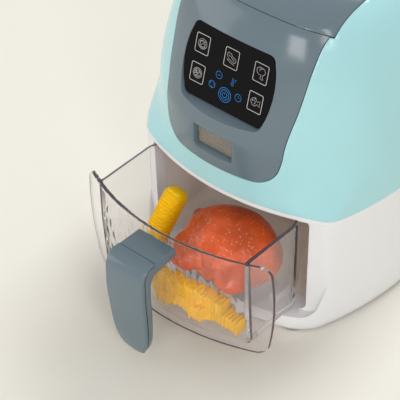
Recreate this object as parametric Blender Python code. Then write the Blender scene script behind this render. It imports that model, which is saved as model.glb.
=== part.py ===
"""Toy air fryer: an egg-shaped housing with a control panel and a clear pull-out drawer.

The housing stands on the ground, its front faces -Y and the drawer is pulled out along -Y.
Lengths are metres. The housing is drawn with its front near y = 0, and the whole object is then
moved so that the middle of its footprint lies at the origin.
"""

import math

import bmesh
import bpy
from mathutils import Matrix, Vector

# Clearances and overruns
FIT_GAP = 0.0003
BAND_GAP = 0.0004
CUT_OVERRUN = 0.020
CAVITY_BITE = 0.0002
SHARP_ANGLE = math.radians(35.0)

# Housing
BODY_HEIGHT = 0.202
BODY_HALF_WIDTH = 0.0785
BODY_DEPTH = 0.1715
BODY_SIDE_CROWN = 0.190
WALL = 0.0024
WHITE_INSET = 0.0006
SEAM_DIP_STEPS = 4
CROWN_POINTS = 5
CORNER_POINTS = 5
SIDE_POINTS = 2

# Rows up the housing: height as a share of its height, half width as a share of its half width,
# front setback as a share of half its depth, corner radius as a share of the smaller half side at that
# level, and front crown radius as a share of its half width.
BODY_ROW_SHARES = (
    (0.008, 0.955, 0.0220, 0.3560, 2.00),
    (0.020, 0.972, 0.0055, 0.3704, 2.00),
    (0.220, 0.986, 0.0275, 0.3347, 1.98),
    (0.395, 0.994, 0.0568, 0.2817, 1.94),
    (0.430, 0.996, 0.0586, 0.3012, 1.80),
    (0.475, 1.000, 0.0513, 0.4600, 1.35),
    (0.530, 0.998, 0.0348, 0.6012, 1.10),
    (0.595, 0.988, 0.0302, 0.6680, 1.04),
    (0.655, 0.972, 0.0586, 0.6996, 1.05),
    (0.755, 0.925, 0.1309, 0.7135, 1.08),
    (0.850, 0.856, 0.2160, 0.7243, 1.18),
    (0.915, 0.786, 0.2948, 0.7529, 1.30),
    (0.950, 0.722, 0.3598, 0.7721, 1.38),
    (0.972, 0.640, 0.4440, 0.7574, 1.40),
    (0.989, 0.500, 0.5859, 0.7958, 1.30),
    (0.998, 0.300, 0.7781, 0.9078, 1.00),
)

# Heights above the ground, as shares of the housing's height
HEIGHT_SHARES = {
    "panel_bottom": 0.0594,
    "rim": 0.3936,
    "band_bottom": 0.4866,
    "display_bottom": 0.5307,
    "display_top": 0.5965,
    "lens": 0.7505,
    "cover_seam": 0.9495,
    "lens_top": 0.1153,
    "lens_bottom": -0.1000,
}

# Distances from the middle, as shares of the housing's half width
WIDTH_SHARES = {
    "seam_dip_start": 0.739,
    "seam_dip_end": 0.930,
    "tray_chamfer": 0.2102,
    "panel": 0.8560,
    "panel_radius": 1.7834,
    "runner": 0.4586,
    "band_flat": 0.3057,
    "band_corner": 0.2038,
    "cover": 0.6320,
    "lens": 0.3936,
    "lens_side_radius": 0.7134,
    "display": 0.1605,
    "speaker": 0.6369,
    "speaker_radius": 0.1529,
    "foot_front": 0.6369,
    "foot_rear": 0.6115,
}

# Places from front to rear, as shares of the housing's depth
DEPTH_SHARES = {
    "frame_back": 0.1691,
    "tray_bend": 0.0758,
    "tray_rear": 0.2216,
    "closing_travel": 0.25073,
    "cover_rear": 0.7347,
    "cover_seam": 0.1784,
    "lens": 0.0991,
    "display": 0.0373,
    "battery": 0.6997,
    "speaker": 0.6531,
    "foot_front": 0.0991,
    "foot_rear": 0.8630,
    "chicken": 0.0292,
    "chicken_radius": 0.1516,
}

# Drawer tray, in an opening that leaves room at its sides for the bay's flange and screws
SIDE_ROOM = 0.0212
TRAY_SIDE_CLEARANCE = 0.0033
OPENING_HALF_WIDTH = BODY_HALF_WIDTH - SIDE_ROOM
TRAY_HALF_WIDTH = OPENING_HALF_WIDTH - TRAY_SIDE_CLEARANCE
RIM_HEIGHT = BODY_HEIGHT * HEIGHT_SHARES["rim"]
PANEL_BOTTOM = BODY_HEIGHT * HEIGHT_SHARES["panel_bottom"]
TRAY_LIFT = 0.0050
TRAY_BOTTOM = PANEL_BOTTOM + TRAY_LIFT
TRAY_DRAFT = 0.0010
TRAY_BEND_Y = BODY_DEPTH * DEPTH_SHARES["tray_bend"]
TRAY_REAR_Y = BODY_DEPTH * DEPTH_SHARES["tray_rear"]
TRAY_CHAMFER = BODY_HALF_WIDTH * WIDTH_SHARES["tray_chamfer"]
TRAY_WALL = 0.0020
TRAY_FLOOR = 0.0022
TRAY_EDGE_RADIUS = 0.0030
TRAY_EDGE_POINTS = 3

# Drawer front panel
CLOSING_TRAVEL = BODY_DEPTH * DEPTH_SHARES["closing_travel"]
CLOSED_FRONT_Y = 0.0010
PANEL_FRONT_Y = CLOSED_FRONT_Y - CLOSING_TRAVEL
PANEL_THICKNESS = 0.0024
PANEL_RADIUS = BODY_HALF_WIDTH * WIDTH_SHARES["panel_radius"]
PANEL_PROFILE_RADIUS = 0.4550
PANEL_HALF_WIDTH = BODY_HALF_WIDTH * WIDTH_SHARES["panel"]
PANEL_WIDEST_SHARE = 0.652
PANEL_WIDEST_HEIGHT = PANEL_BOTTOM + (RIM_HEIGHT - PANEL_BOTTOM) * PANEL_WIDEST_SHARE
PANEL_SIDE_RADIUS = 0.1760
PANEL_CORNER_RADIUS = 0.0060
PANEL_CORNER_POINTS = 3
PANEL_ROW_SHARES = (0.20, 0.45, 0.70)
PANEL_COLUMNS = 14

# Drawer opening in the housing, and the seat that the closed drawer front lies in
RIM_CLEARANCE = 0.0009
PANEL_CLEARANCE = 0.0004
OPENING_TOP = RIM_HEIGHT + RIM_CLEARANCE
OPENING_BOTTOM = PANEL_BOTTOM - PANEL_CLEARANCE
OPENING_DRAFT = 0.0019
OPENING_RADIUS = 0.0050
SEAT_LEAN = 0.0024
SEAT_SIDE_GAP = 0.0008
FRAME_BACK_Y = BODY_DEPTH * DEPTH_SHARES["frame_back"]
RUNNER_X = BODY_HALF_WIDTH * WIDTH_SHARES["runner"]
RUNNER_WIDTH = 0.0050
RUNNER_SETBACK = 0.00026
RUNNER_ROOT = 0.0010

# Seam between the white lower body and the mint upper shell
SEAM_STRIP = 0.0028
SEAM_HEIGHT = OPENING_TOP + SEAM_STRIP
SEAM_DIP = 0.0033
SEAM_DIP_START = BODY_HALF_WIDTH * WIDTH_SHARES["seam_dip_start"]
SEAM_DIP_END = BODY_HALF_WIDTH * WIDTH_SHARES["seam_dip_end"]

# Drawer bay
BAY_REAR_CLEARANCE = 0.0035
BAY_REAR_Y = TRAY_REAR_Y + CLOSING_TRAVEL + BAY_REAR_CLEARANCE
BAY_WALL = 0.0020
BAY_FLANGE = 0.0062
BAY_FLANGE_THICKNESS = 0.0020
BAY_SCREW_OFFSET = 0.0043
BAY_SCREW_LOW = 0.0124
BAY_SCREW_HIGH = 0.0104
BAY_SCREW_HEIGHTS = (OPENING_BOTTOM + BAY_SCREW_LOW, OPENING_TOP - BAY_SCREW_HIGH)

# Screws
SCREW_HEAD_RADIUS = 0.0018
SCREW_HEAD_HEIGHT = 0.0011
SCREW_SHANK_RADIUS = 0.0008
SCREW_LENGTH = 0.0062
BOARD_SCREW_LENGTH = 0.0045
SCREW_HOLE_RADIUS = 0.00115
SCREW_HOLE_MARGIN = 0.0006
SCREW_SIDES = 10
HOLE_SIDES = 12
BOSS_RADIUS = 0.0040
SEAM_BOSS_SETBACK = 0.0053
BASE_BOSS_SETBACK = 0.0075
BASE_BOSS_WEB = 0.0030
BASE_BOSS_WEB_REACH = 0.0062
BASE_BOSS_WEB_STEP = 0.0010
BOSS_SIDES = 16

# Base plate, feet
BASE_THICKNESS = 0.0032
COUNTERBORE_RADIUS = 0.0028
COUNTERBORE_DEPTH = 0.0017
BASE_BOSS_HEIGHT = 0.0100
BASE_BOSS_SHARES = (0.3032, 0.7580)
BASE_BOSS_YS = tuple(BODY_DEPTH * share for share in BASE_BOSS_SHARES)
SEAM_BOSS_SHARES = (0.3499, 0.6880)
SEAM_BOSS_YS = tuple(BODY_DEPTH * share for share in SEAM_BOSS_SHARES)
SEAM_BOSS_HEIGHT = 0.0060
SEAM_BOSS_OVERLAP = 0.0040
FOOT_RADIUS = 0.0060
FOOT_SIDES = 18
FOOT_FRONT_X = BODY_HALF_WIDTH * WIDTH_SHARES["foot_front"]
FOOT_FRONT_Y = BODY_DEPTH * DEPTH_SHARES["foot_front"]
FOOT_REAR_X = BODY_HALF_WIDTH * WIDTH_SHARES["foot_rear"]
FOOT_REAR_Y = BODY_DEPTH * DEPTH_SHARES["foot_rear"]

# Batteries
CELL_RADIUS = 0.00725
CELL_LENGTH = 0.0495
CELL_NUB_RADIUS = 0.0027
CELL_NUB_LENGTH = 0.0010
CELL_PITCH = 0.0151
CELL_COUNT = 3
CELL_SIDES = 20
BATTERY_Y = BODY_DEPTH * DEPTH_SHARES["battery"]
BATTERY_WALL = 0.0016
CONTACT_THICKNESS = 0.0005
CONTACT_SPRING_LENGTH = 0.0016
CONTACT_SPRING_RADIUS = 0.0028
CONTACT_HEIGHT = 0.0110
CONTACT_WIDTH = 0.0100
DOOR_THICKNESS = 0.0014
DOOR_RIM = 0.0035
DOOR_TAB = 0.0075
DOOR_SCREW_INSET = 0.0042
DOOR_BOSS_HEIGHT = 0.0050

# Speaker
SPEAKER_X = BODY_HALF_WIDTH * WIDTH_SHARES["speaker"]
SPEAKER_Y = BODY_DEPTH * DEPTH_SHARES["speaker"]
SPEAKER_RADIUS = BODY_HALF_WIDTH * WIDTH_SHARES["speaker_radius"]
SPEAKER_HEIGHT = 0.0050
SPEAKER_MAGNET_RADIUS = 0.0070
SPEAKER_MAGNET_HEIGHT = 0.0035
SPEAKER_SIDES = 24
GRILLE_HOLE_RADIUS = 0.0012
GRILLE_RING_RADIUS = 0.0060
GRILLE_COUNT = 6

# Grey band: control panel in front, cover on top
BAND_BOTTOM = BODY_HEIGHT * HEIGHT_SHARES["band_bottom"]
BAND_FLAT_HALF_WIDTH = BODY_HALF_WIDTH * WIDTH_SHARES["band_flat"]
BAND_CORNER_RADIUS = BODY_HALF_WIDTH * WIDTH_SHARES["band_corner"]
BAND_CORNER_POINTS = 4
BAND_SHARES = ((0.578, 0.5197), (0.640, 0.5350), (0.728, 0.5669), (0.850, 0.5911), (0.912, 0.6013))
COVER_HALF_WIDTH = BODY_HALF_WIDTH * WIDTH_SHARES["cover"]
COVER_START_SHARE = 0.944
COVER_REAR_Y = BODY_DEPTH * DEPTH_SHARES["cover_rear"]
COVER_REAR_RADIUS = 0.0180
COVER_CORNER_POINTS = 5
COVER_SEAM_Y = BODY_DEPTH * DEPTH_SHARES["cover_seam"]
COVER_SEAM_Z = BODY_HEIGHT * HEIGHT_SHARES["cover_seam"]
COVER_SEAM_SLOPE_SHARE = -0.44

# Lens: a plane that leans back, and its outline on that plane
LENS_Y = BODY_DEPTH * DEPTH_SHARES["lens"]
LENS_Z = BODY_HEIGHT * HEIGHT_SHARES["lens"]
LENS_LEAN = math.radians(15.0)
LENS_TOP = BODY_HEIGHT * HEIGHT_SHARES["lens_top"]
LENS_BOTTOM = BODY_HEIGHT * HEIGHT_SHARES["lens_bottom"]
LENS_HALF_WIDTH = BODY_HALF_WIDTH * WIDTH_SHARES["lens"]
LENS_SIDE_RADIUS = BODY_HALF_WIDTH * WIDTH_SHARES["lens_side_radius"]
LENS_WIDEST = 0.0020
LENS_SIDE_POINTS = 6
LENS_CORNER_RADIUS = 0.0040
LENS_CORNER_POINTS = 3
LENS_THICKNESS = 0.0012
POCKET_FLOOR = 0.0020
POCKET_WALL = 0.0022
POCKET_RISE = 0.0100
POCKET_FLARE = 0.0012
POCKET_LIP_FLARE = 0.0040

# Keys in the lens: across as shares of its half width, up as shares of its top or its bottom
KEY_SHARES = {"x": 0.660, "upper": 0.472, "lower": 0.317, "width": 0.330, "height": 0.511, "power": 0.545}
POWER_KEY_RADIUS_SHARE = 0.431
KEY_X = LENS_HALF_WIDTH * KEY_SHARES["x"]
KEY_UPPER = LENS_TOP * KEY_SHARES["upper"]
KEY_LOWER = LENS_BOTTOM * KEY_SHARES["lower"]
KEY_WIDTH = LENS_HALF_WIDTH * KEY_SHARES["width"]
KEY_HEIGHT = LENS_TOP * KEY_SHARES["height"]
KEY_CORNER = 0.0014
KEY_CORNER_POINTS = 2
POWER_KEY_HEIGHT = LENS_BOTTOM * KEY_SHARES["power"]
POWER_KEY_RADIUS = KEY_WIDTH * POWER_KEY_RADIUS_SHARE
POWER_KEY_SIDES = 24
KEY_FLANGE = 0.0012
KEY_FLANGE_RIM = 0.0008
KEY_TRAVEL = 0.0008

# Circuit board behind the keys, with shares of the lens as for the keys
BOARD_SHARES = {"mat_top": 0.635, "mat_bottom": 0.668, "x": 0.858, "top": 0.880, "bottom": 0.950,
                "boss_up": 0.755, "boss_down": 0.807, "upper_boss_x": 0.330, "lower_boss_x": 0.4045}
MAT_HALF_WIDTH = KEY_X + KEY_WIDTH / 2.0
MAT_TOP = LENS_TOP * BOARD_SHARES["mat_top"]
MAT_BOTTOM = LENS_BOTTOM * BOARD_SHARES["mat_bottom"]
MAT_THICKNESS = 0.0010
BOARD_HALF_WIDTH = LENS_HALF_WIDTH * BOARD_SHARES["x"]
BOARD_TOP = LENS_TOP * BOARD_SHARES["top"]
BOARD_BOTTOM = LENS_BOTTOM * BOARD_SHARES["bottom"]
BOARD_THICKNESS = 0.0016
BOARD_CORNER = 0.0020
BOARD_BOSS_RADIUS = 0.0021
BOARD_BOSSES = (
    (LENS_HALF_WIDTH * BOARD_SHARES["upper_boss_x"], LENS_TOP * BOARD_SHARES["boss_up"]),
    (LENS_HALF_WIDTH * BOARD_SHARES["lower_boss_x"], LENS_BOTTOM * BOARD_SHARES["boss_down"]),
)
LED_RADIUS = 0.0009
LED_HEIGHT = 0.0009
LED_UP = LENS_TOP * BOARD_SHARES["boss_up"]
LED_X = 0.0040
LED_SIDES = 10
CHIP_HALF_SIDE = 0.0050
CHIP_HEIGHT = 0.0012

# Display
DISPLAY_HALF_WIDTH = BODY_HALF_WIDTH * WIDTH_SHARES["display"]
DISPLAY_BOTTOM = BODY_HEIGHT * HEIGHT_SHARES["display_bottom"]
DISPLAY_TOP = BODY_HEIGHT * HEIGHT_SHARES["display_top"]
DISPLAY_FRONT_Y = BODY_DEPTH * DEPTH_SHARES["display"]
DISPLAY_WINDOW = 0.0010
DISPLAY_SCREEN = 0.0014
DISPLAY_CORNER = 0.0008
DISPLAY_WALL = 0.0020
DISPLAY_RISE = 0.0080
DISPLAY_FLARE = 0.0016

# Handle: reach forward of the drawer front and length, with shares of the two
HANDLE_BOTTOM = 0.0022
HANDLE_DROP = 0.0038
HANDLE_TOP = RIM_HEIGHT - HANDLE_DROP
HANDLE_REACH = 0.0284
HANDLE_HALF_WIDTH = 0.0137
HANDLE_EDGE = 0.0012
HANDLE_FRONT_EDGE = 0.0030
HANDLE_CROWN = 0.0005
COVER_SHOULDER_SHARE = 0.45
COVER_STEP_SHARE = 0.40
COVER_CROWN_SHARE = 0.18
HANDLE_SCREW_X = 0.0070
HANDLE_SCREW_SHARE = 0.938
STUB_SHARES = ((0.000, 1.000, 0.000, 0.909), (0.300, 1.000, 0.300, 0.903), (0.550, 1.000, 0.490, 0.893))
# Stations down the handle: seam reach and height, inner face reach and height, front face reach
# and height, half width.
HANDLE_SHARES = (
    (0.565, 0.990, 0.520, 0.889, 0.567, 1.000, 1.00),
    (0.700, 0.986, 0.585, 0.877, 0.720, 0.999, 1.00),
    (0.800, 0.960, 0.640, 0.855, 0.856, 0.981, 1.00),
    (0.864, 0.918, 0.672, 0.830, 0.950, 0.938, 1.00),
    (0.886, 0.865, 0.682, 0.800, 0.990, 0.876, 1.00),
    (0.884, 0.733, 0.676, 0.700, 0.990, 0.740, 1.00),
    (0.832, 0.493, 0.632, 0.480, 0.928, 0.495, 0.97),
    (0.768, 0.248, 0.600, 0.250, 0.848, 0.240, 0.88),
    (0.690, 0.110, 0.568, 0.125, 0.735, 0.085, 0.70),
    (0.600, 0.040, 0.540, 0.062, 0.610, 0.014, 0.42),
    (0.560, 0.020, 0.535, 0.042, 0.555, 0.000, 0.18),
)

# Play food: across as shares of the tray's half width, up as shares of the room over its floor
FOOD_SHARES = {"chicken_x": 0.352, "chicken_radius_x": 0.574, "chicken_radius_z": 0.4634,
               "crinkle_top_x": -0.435, "crinkle_foot_x": -0.578, "crinkle_foot_y": 0.581,
               "fry_start": -0.185, "fry_pitch": 0.2037}
FOOD_ROOM = RIM_HEIGHT - TRAY_BOTTOM - TRAY_FLOOR - FIT_GAP
CHICKEN_CENTRE = (TRAY_HALF_WIDTH * FOOD_SHARES["chicken_x"], BODY_DEPTH * DEPTH_SHARES["chicken"])
CHICKEN_RADII = (
    TRAY_HALF_WIDTH * FOOD_SHARES["chicken_radius_x"],
    BODY_DEPTH * DEPTH_SHARES["chicken_radius"],
    FOOD_ROOM * FOOD_SHARES["chicken_radius_z"],
)
CHICKEN_DRUM_RADIUS_SHARES = (0.4355, 0.7690, 0.4317)
CHICKEN_DRUM_SHARES = (0.484, -0.42, -0.02)
FOOD_SEGMENTS = 20
FOOD_RINGS = 12
CRINKLE_HALF_WIDTH = 0.0062
CRINKLE_DEPTH = 0.0007
CRINKLE_PITCH = 0.0044
CRINKLE_DROP = 0.0075
CRINKLE_LIFT = 0.0033
CRINKLE_TOP = (TRAY_HALF_WIDTH * FOOD_SHARES["crinkle_top_x"], 0.0, RIM_HEIGHT - CRINKLE_DROP)
CRINKLE_FOOT = (
    TRAY_HALF_WIDTH * FOOD_SHARES["crinkle_foot_x"],
    PANEL_FRONT_Y * FOOD_SHARES["crinkle_foot_y"],
    RIM_HEIGHT - FOOD_ROOM + CRINKLE_LIFT,
)
FRY_WIDTH = 0.0094
FRY_LENGTH = 0.0240
FRY_START_X = TRAY_HALF_WIDTH * FOOD_SHARES["fry_start"]
FRY_PITCH = TRAY_HALF_WIDTH * FOOD_SHARES["fry_pitch"]
FRY_COUNT = 5
FRY_TURN = math.radians(17.0)
FRY_SETBACK = 0.0084
FRY_BITE = 0.0008
UPPER_FRY_COUNT = 2


def clear_scene():
    """Remove every object from the scene."""
    for item in list(bpy.data.objects):
        bpy.data.objects.remove(item)


def material(name, colour, roughness, metallic=0.0, transmission=0.0):
    """A Principled material with one colour."""
    made = bpy.data.materials.new(name)
    made.use_nodes = True
    shader = made.node_tree.nodes["Principled BSDF"]
    shader.inputs["Base Color"].default_value = (*colour, 1.0)
    shader.inputs["Roughness"].default_value = roughness
    shader.inputs["Metallic"].default_value = metallic
    shader.inputs["Transmission Weight"].default_value = transmission
    return made


def add_object(name, bm, look=None, place=(0.0, 0.0, 0.0), turn=(0.0, 0.0, 0.0)):
    """Turn a bmesh into an object of the assembly."""
    bmesh.ops.recalc_face_normals(bm, faces=bm.faces)
    mesh = bpy.data.meshes.new(name)
    bm.to_mesh(mesh)
    bm.free()
    mesh.shade_smooth()
    mesh.set_sharp_from_angle(angle=SHARP_ANGLE)
    made = bpy.data.objects.new(name, mesh)
    bpy.context.scene.collection.objects.link(made)
    made.location = place
    made.rotation_euler = turn
    made.parent = bpy.data.objects["air_fryer"]
    if look is not None:
        mesh.materials.append(look)
    return made


def as_tool(item):
    """Mark an object as a cutter."""
    item.hide_render = True
    item.display_type = "WIRE"
    return item


def combine(target, tool, operation="DIFFERENCE"):
    """Add a Boolean modifier that uses the tool."""
    as_tool(tool)
    step = target.modifiers.new(tool.name, "BOOLEAN")
    step.operation = operation
    step.solver = "EXACT"
    step.object = tool


def loft(rings, bm=None):
    """Join rings of equally many points into a closed solid with flat ends."""
    bm = bm or bmesh.new()
    rows = [[bm.verts.new(point) for point in ring] for ring in rings]
    for low, high in zip(rows, rows[1:]):
        for i in range(len(low)):
            j = (i + 1) % len(low)
            bm.faces.new((low[i], low[j], high[j], high[i]))
    bm.faces.new(list(reversed(rows[0])))
    bm.faces.new(rows[-1])
    return bm


def extrude(outline, axis, low, high, bm=None):
    """A prism of a flat outline between two places on an axis."""
    order = {
        "X": lambda u, v, w: (w, u, v),
        "Y": lambda u, v, w: (u, w, v),
        "Z": lambda u, v, w: (u, v, w),
    }[axis]
    return loft([[order(u, v, w) for u, v in outline] for w in (low, high)], bm)


def rod(radius, low, high, centre=(0.0, 0.0), axis="Z", sides=HOLE_SIDES, bm=None):
    """A round bar along an axis."""
    outline = []
    for i in range(sides):
        angle = math.tau * (i + 0.5) / sides
        outline.append((centre[0] + radius * math.cos(angle), centre[1] + radius * math.sin(angle)))
    return extrude(outline, axis, low, high, bm)


def fillet(corners, points):
    """Round the corners (x, y, radius) of a polygon with arcs."""
    outline = []
    count = len(corners)
    for i, (x, y, radius) in enumerate(corners):
        here = Vector((x, y))
        if radius <= 0.0:
            outline.append((x, y))
            continue
        before = (Vector(corners[i - 1][:2]) - here).normalized()
        after = (Vector(corners[(i + 1) % count][:2]) - here).normalized()
        half = before.angle(after) / 2.0
        reach = radius / math.tan(half)
        centre = here + (before + after).normalized() * radius / math.sin(half)
        start = here + before * reach - centre
        end = here + after * reach - centre
        turn = start.angle_signed(end)
        for k in range(points + 1):
            arm = start.copy()
            arm.rotate(Matrix.Rotation(-turn * k / points, 2))
            outline.append(tuple(centre + arm))
    return outline


def rectangle(half_width, low, high, radius, points=KEY_CORNER_POINTS, x=0.0):
    """A rounded rectangle, centred on x."""
    return fillet([
        (x - half_width, low, radius),
        (x + half_width, low, radius),
        (x + half_width, high, radius),
        (x - half_width, high, radius),
    ], points)


def mirrored(half):
    """Close a half outline, drawn on the +x side from bottom to top, with its mirror image."""
    return half + [(-x, y) for x, y in reversed(half) if x > 0.0]


def arc(centre, radius, start, end, steps):
    """Points along an arc."""
    points = []
    for i in range(steps + 1):
        angle = start + (end - start) * i / steps
        points.append((centre[0] + radius * math.cos(angle), centre[1] + radius * math.sin(angle)))
    return points


def housing_ring(row):
    """One level of the housing: a rounded square with crowned sides."""
    height, width, setback, corner, crown = row
    half_width = width * BODY_HALF_WIDTH
    front = setback * BODY_DEPTH / 2.0
    corner_radius = corner * min(half_width, BODY_DEPTH / 2.0 - front)
    crown_radius = crown * BODY_HALF_WIDTH
    middle = BODY_DEPTH / 2.0
    front_centre = Vector((0.0, front + crown_radius))
    side_centre = Vector((half_width - BODY_SIDE_CROWN, middle))
    front_reach = crown_radius - corner_radius
    side_reach = BODY_SIDE_CROWN - corner_radius
    line = side_centre - front_centre
    along = (front_reach ** 2 - side_reach ** 2 + line.length_squared) / (2.0 * line.length)
    aside = math.sqrt(max(front_reach ** 2 - along ** 2, 0.0))
    unit = line.normalized()
    corner_centre = front_centre + unit * along + Vector((-unit.y, unit.x)) * aside
    to_front = corner_centre - front_centre
    to_side = corner_centre - side_centre
    front_angle = math.atan2(to_front.y, to_front.x)
    side_angle = math.atan2(to_side.y, to_side.x)
    quarter = arc(front_centre, crown_radius, -math.pi / 2.0, front_angle, CROWN_POINTS)
    quarter += arc(corner_centre, corner_radius, front_angle, side_angle, CORNER_POINTS)[1:]
    quarter += arc(side_centre, BODY_SIDE_CROWN, side_angle, 0.0, SIDE_POINTS)[1:]
    right = quarter + [(x, BODY_DEPTH - y) for x, y in reversed(quarter[:-1])]
    ring = right + [(-x, y) for x, y in reversed(right[1:-1])]
    return [Vector((x, y, height * BODY_HEIGHT)) for x, y in ring]


def housing_skin(inset=0.0, through=False):
    """The housing's outer form moved inwards, open downwards for a cutter."""
    rings = [housing_ring(row) for row in BODY_ROW_SHARES]
    moved = []
    for k, ring in enumerate(rings):
        below = rings[max(k - 1, 0)]
        above = rings[min(k + 1, len(rings) - 1)]
        level = []
        for i, point in enumerate(ring):
            around = ring[(i + 1) % len(ring)] - ring[i - 1]
            normal = around.cross(above[i] - below[i]).normalized()
            level.append(point - normal * inset)
        moved.append(level)
    if through:
        moved[0] = [Vector((point.x, point.y, -CUT_OVERRUN)) for point in moved[0]]
    return loft(moved)


def body_half_width(height):
    """Half the housing's width at a height."""
    rows = BODY_ROW_SHARES
    for low, high in zip(rows, rows[1:]):
        if high[0] * BODY_HEIGHT >= height:
            share = (height / BODY_HEIGHT - low[0]) / (high[0] - low[0])
            return (low[1] + (high[1] - low[1]) * share) * BODY_HALF_WIDTH
    return rows[-1][1] * BODY_HALF_WIDTH


def seam_height(x):
    """The height of the seam between the lower body and the upper shell, seen from the front."""
    share = min(max((abs(x) - SEAM_DIP_START) / (SEAM_DIP_END - SEAM_DIP_START), 0.0), 1.0)
    return SEAM_HEIGHT - SEAM_DIP * share * share * (3.0 - 2.0 * share)


def below_seam(name, lift):
    """Everything under the seam, moved up by lift."""
    width = BODY_HALF_WIDTH + CUT_OVERRUN
    half = [(width, -CUT_OVERRUN), (width, seam_height(width) + lift)]
    for i in range(SEAM_DIP_STEPS + 1):
        x = SEAM_DIP_END - (SEAM_DIP_END - SEAM_DIP_START) * i / SEAM_DIP_STEPS
        half.append((x, seam_height(x) + lift))
    front = as_tool(add_object(name, extrude(mirrored(half), "Y", -CUT_OVERRUN, BODY_DEPTH / 2.0)))
    flat = seam_height(width) + lift
    rear = extrude([(-width, -CUT_OVERRUN), (width, -CUT_OVERRUN), (width, flat), (-width, flat)],
                   "Y", BODY_DEPTH / 2.0 - FIT_GAP, BODY_DEPTH + CUT_OVERRUN)
    combine(front, add_object(name + "_rear", rear), "UNION")
    return front


def opening_outline(grow=0.0):
    """The drawer opening, seen from the front."""
    low = OPENING_BOTTOM - grow
    high = OPENING_TOP + grow
    wide = OPENING_HALF_WIDTH + grow
    narrow = wide - OPENING_DRAFT
    radius = OPENING_RADIUS + grow
    return fillet([(-narrow, low, radius), (narrow, low, radius), (wide, high, radius),
                   (-wide, high, radius)], KEY_CORNER_POINTS)


def panel_setback(height):
    """How far the drawer front curves back below its rim."""
    drop = RIM_HEIGHT - height
    return PANEL_PROFILE_RADIUS - math.sqrt(PANEL_PROFILE_RADIUS ** 2 - drop ** 2)


def panel_arc_y(x, inset):
    """How far the drawer front curves back at a distance from its middle, at a depth inset."""
    radius = PANEL_RADIUS - inset
    return PANEL_RADIUS - math.sqrt(radius ** 2 - x ** 2)


def panel_heights(low, high):
    """Levels up the drawer front, closer together round its corners."""
    radius = PANEL_CORNER_RADIUS
    levels = []
    for i in range(PANEL_CORNER_POINTS + 1):
        levels.append(low + radius * (1.0 - math.cos(math.pi / 2.0 * i / PANEL_CORNER_POINTS)))
    levels += [low + (high - low) * share for share in PANEL_ROW_SHARES]
    for i in range(PANEL_CORNER_POINTS + 1):
        levels.append(high - radius * (1.0 - math.sin(math.pi / 2.0 * i / PANEL_CORNER_POINTS)))
    return levels


def panel_half_width(height, low, high):
    """Half the drawer front's width at a height, with its corners rounded."""
    bow = (height - PANEL_WIDEST_HEIGHT) ** 2 / (2.0 * PANEL_SIDE_RADIUS)
    radius = PANEL_CORNER_RADIUS
    into = max(low + radius - height, height - high + radius, 0.0)
    return PANEL_HALF_WIDTH - bow - radius + math.sqrt(max(radius ** 2 - into ** 2, 0.0))


def columns(half_width, steps=PANEL_COLUMNS):
    """Evenly spread places from one side to the other."""
    return [half_width * (2.0 * i / steps - 1.0) for i in range(steps + 1)]


def drawer_panel():
    """The drawer's curved front with its two wings."""
    rings = []
    for height in panel_heights(PANEL_BOTTOM, RIM_HEIGHT):
        places = columns(panel_half_width(height, PANEL_BOTTOM, RIM_HEIGHT))
        back = PANEL_FRONT_Y + panel_setback(height)
        ring = [(x, back + panel_arc_y(x, 0.0), height) for x in places]
        ring += [(x, back + panel_arc_y(x, PANEL_THICKNESS), height) for x in reversed(places)]
        rings.append(ring)
    return loft(rings)


def tray_ring(height, inset, depth_in_panel):
    """One level of the tray, from the drawer front round its sides and rear."""
    draft = TRAY_DRAFT * (RIM_HEIGHT - height) / (RIM_HEIGHT - TRAY_BOTTOM)
    half_width = TRAY_HALF_WIDTH - max(draft, 0.0) - inset
    rear_half_width = TRAY_HALF_WIDTH - TRAY_CHAMFER - inset / 2.0
    back = PANEL_FRONT_Y + panel_setback(min(height, RIM_HEIGHT))
    ring = [(x, back + panel_arc_y(x, depth_in_panel), height) for x in columns(half_width)]
    ring += [(half_width, TRAY_BEND_Y - inset / 2.0, height)]
    ring += [(rear_half_width, TRAY_REAR_Y - inset, height)]
    ring += [(-rear_half_width, TRAY_REAR_Y - inset, height)]
    ring += [(-half_width, TRAY_BEND_Y - inset / 2.0, height)]
    return ring


def tray_solid(name, inset, floor, top, depth_in_panel):
    """A tray form with rounded bottom edges."""
    rings = []
    for i in range(TRAY_EDGE_POINTS + 1):
        angle = math.pi / 2.0 * i / TRAY_EDGE_POINTS
        height = floor + TRAY_EDGE_RADIUS * (1.0 - math.cos(angle))
        rings.append(tray_ring(height, inset + TRAY_EDGE_RADIUS * (1.0 - math.sin(angle)), depth_in_panel))
    for share in PANEL_ROW_SHARES:
        rings.append(tray_ring(floor + (RIM_HEIGHT - floor) * share, inset, depth_in_panel))
    rings.append(tray_ring(RIM_HEIGHT, inset, depth_in_panel))
    if top > RIM_HEIGHT:
        rings.append([(x, y, top) for x, y, _ in rings[-1]])
    return add_object(name, loft(rings))


def build_drawer(looks):
    """The clear drawer: tray and front in one moulding, with two screw holes for the handle."""
    tray = add_object("drawer_tray", drawer_panel(), looks["clear"])
    combine(tray, tray_solid("tray_form", 0.0, TRAY_BOTTOM, RIM_HEIGHT, PANEL_THICKNESS / 2.0), "UNION")
    cavity = tray_solid("tray_cavity", TRAY_WALL, TRAY_BOTTOM + TRAY_FLOOR,
                        RIM_HEIGHT + CUT_OVERRUN, PANEL_THICKNESS - CAVITY_BITE)
    combine(tray, cavity)
    holes = bmesh.new()
    for x in (-HANDLE_SCREW_X, HANDLE_SCREW_X):
        rod(SCREW_HOLE_RADIUS, PANEL_FRONT_Y - CUT_OVERRUN, PANEL_FRONT_Y + CUT_OVERRUN,
            (x, handle_screw_height()), "Y", HOLE_SIDES, holes)
    combine(tray, add_object("tray_screw_holes", holes))


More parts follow.
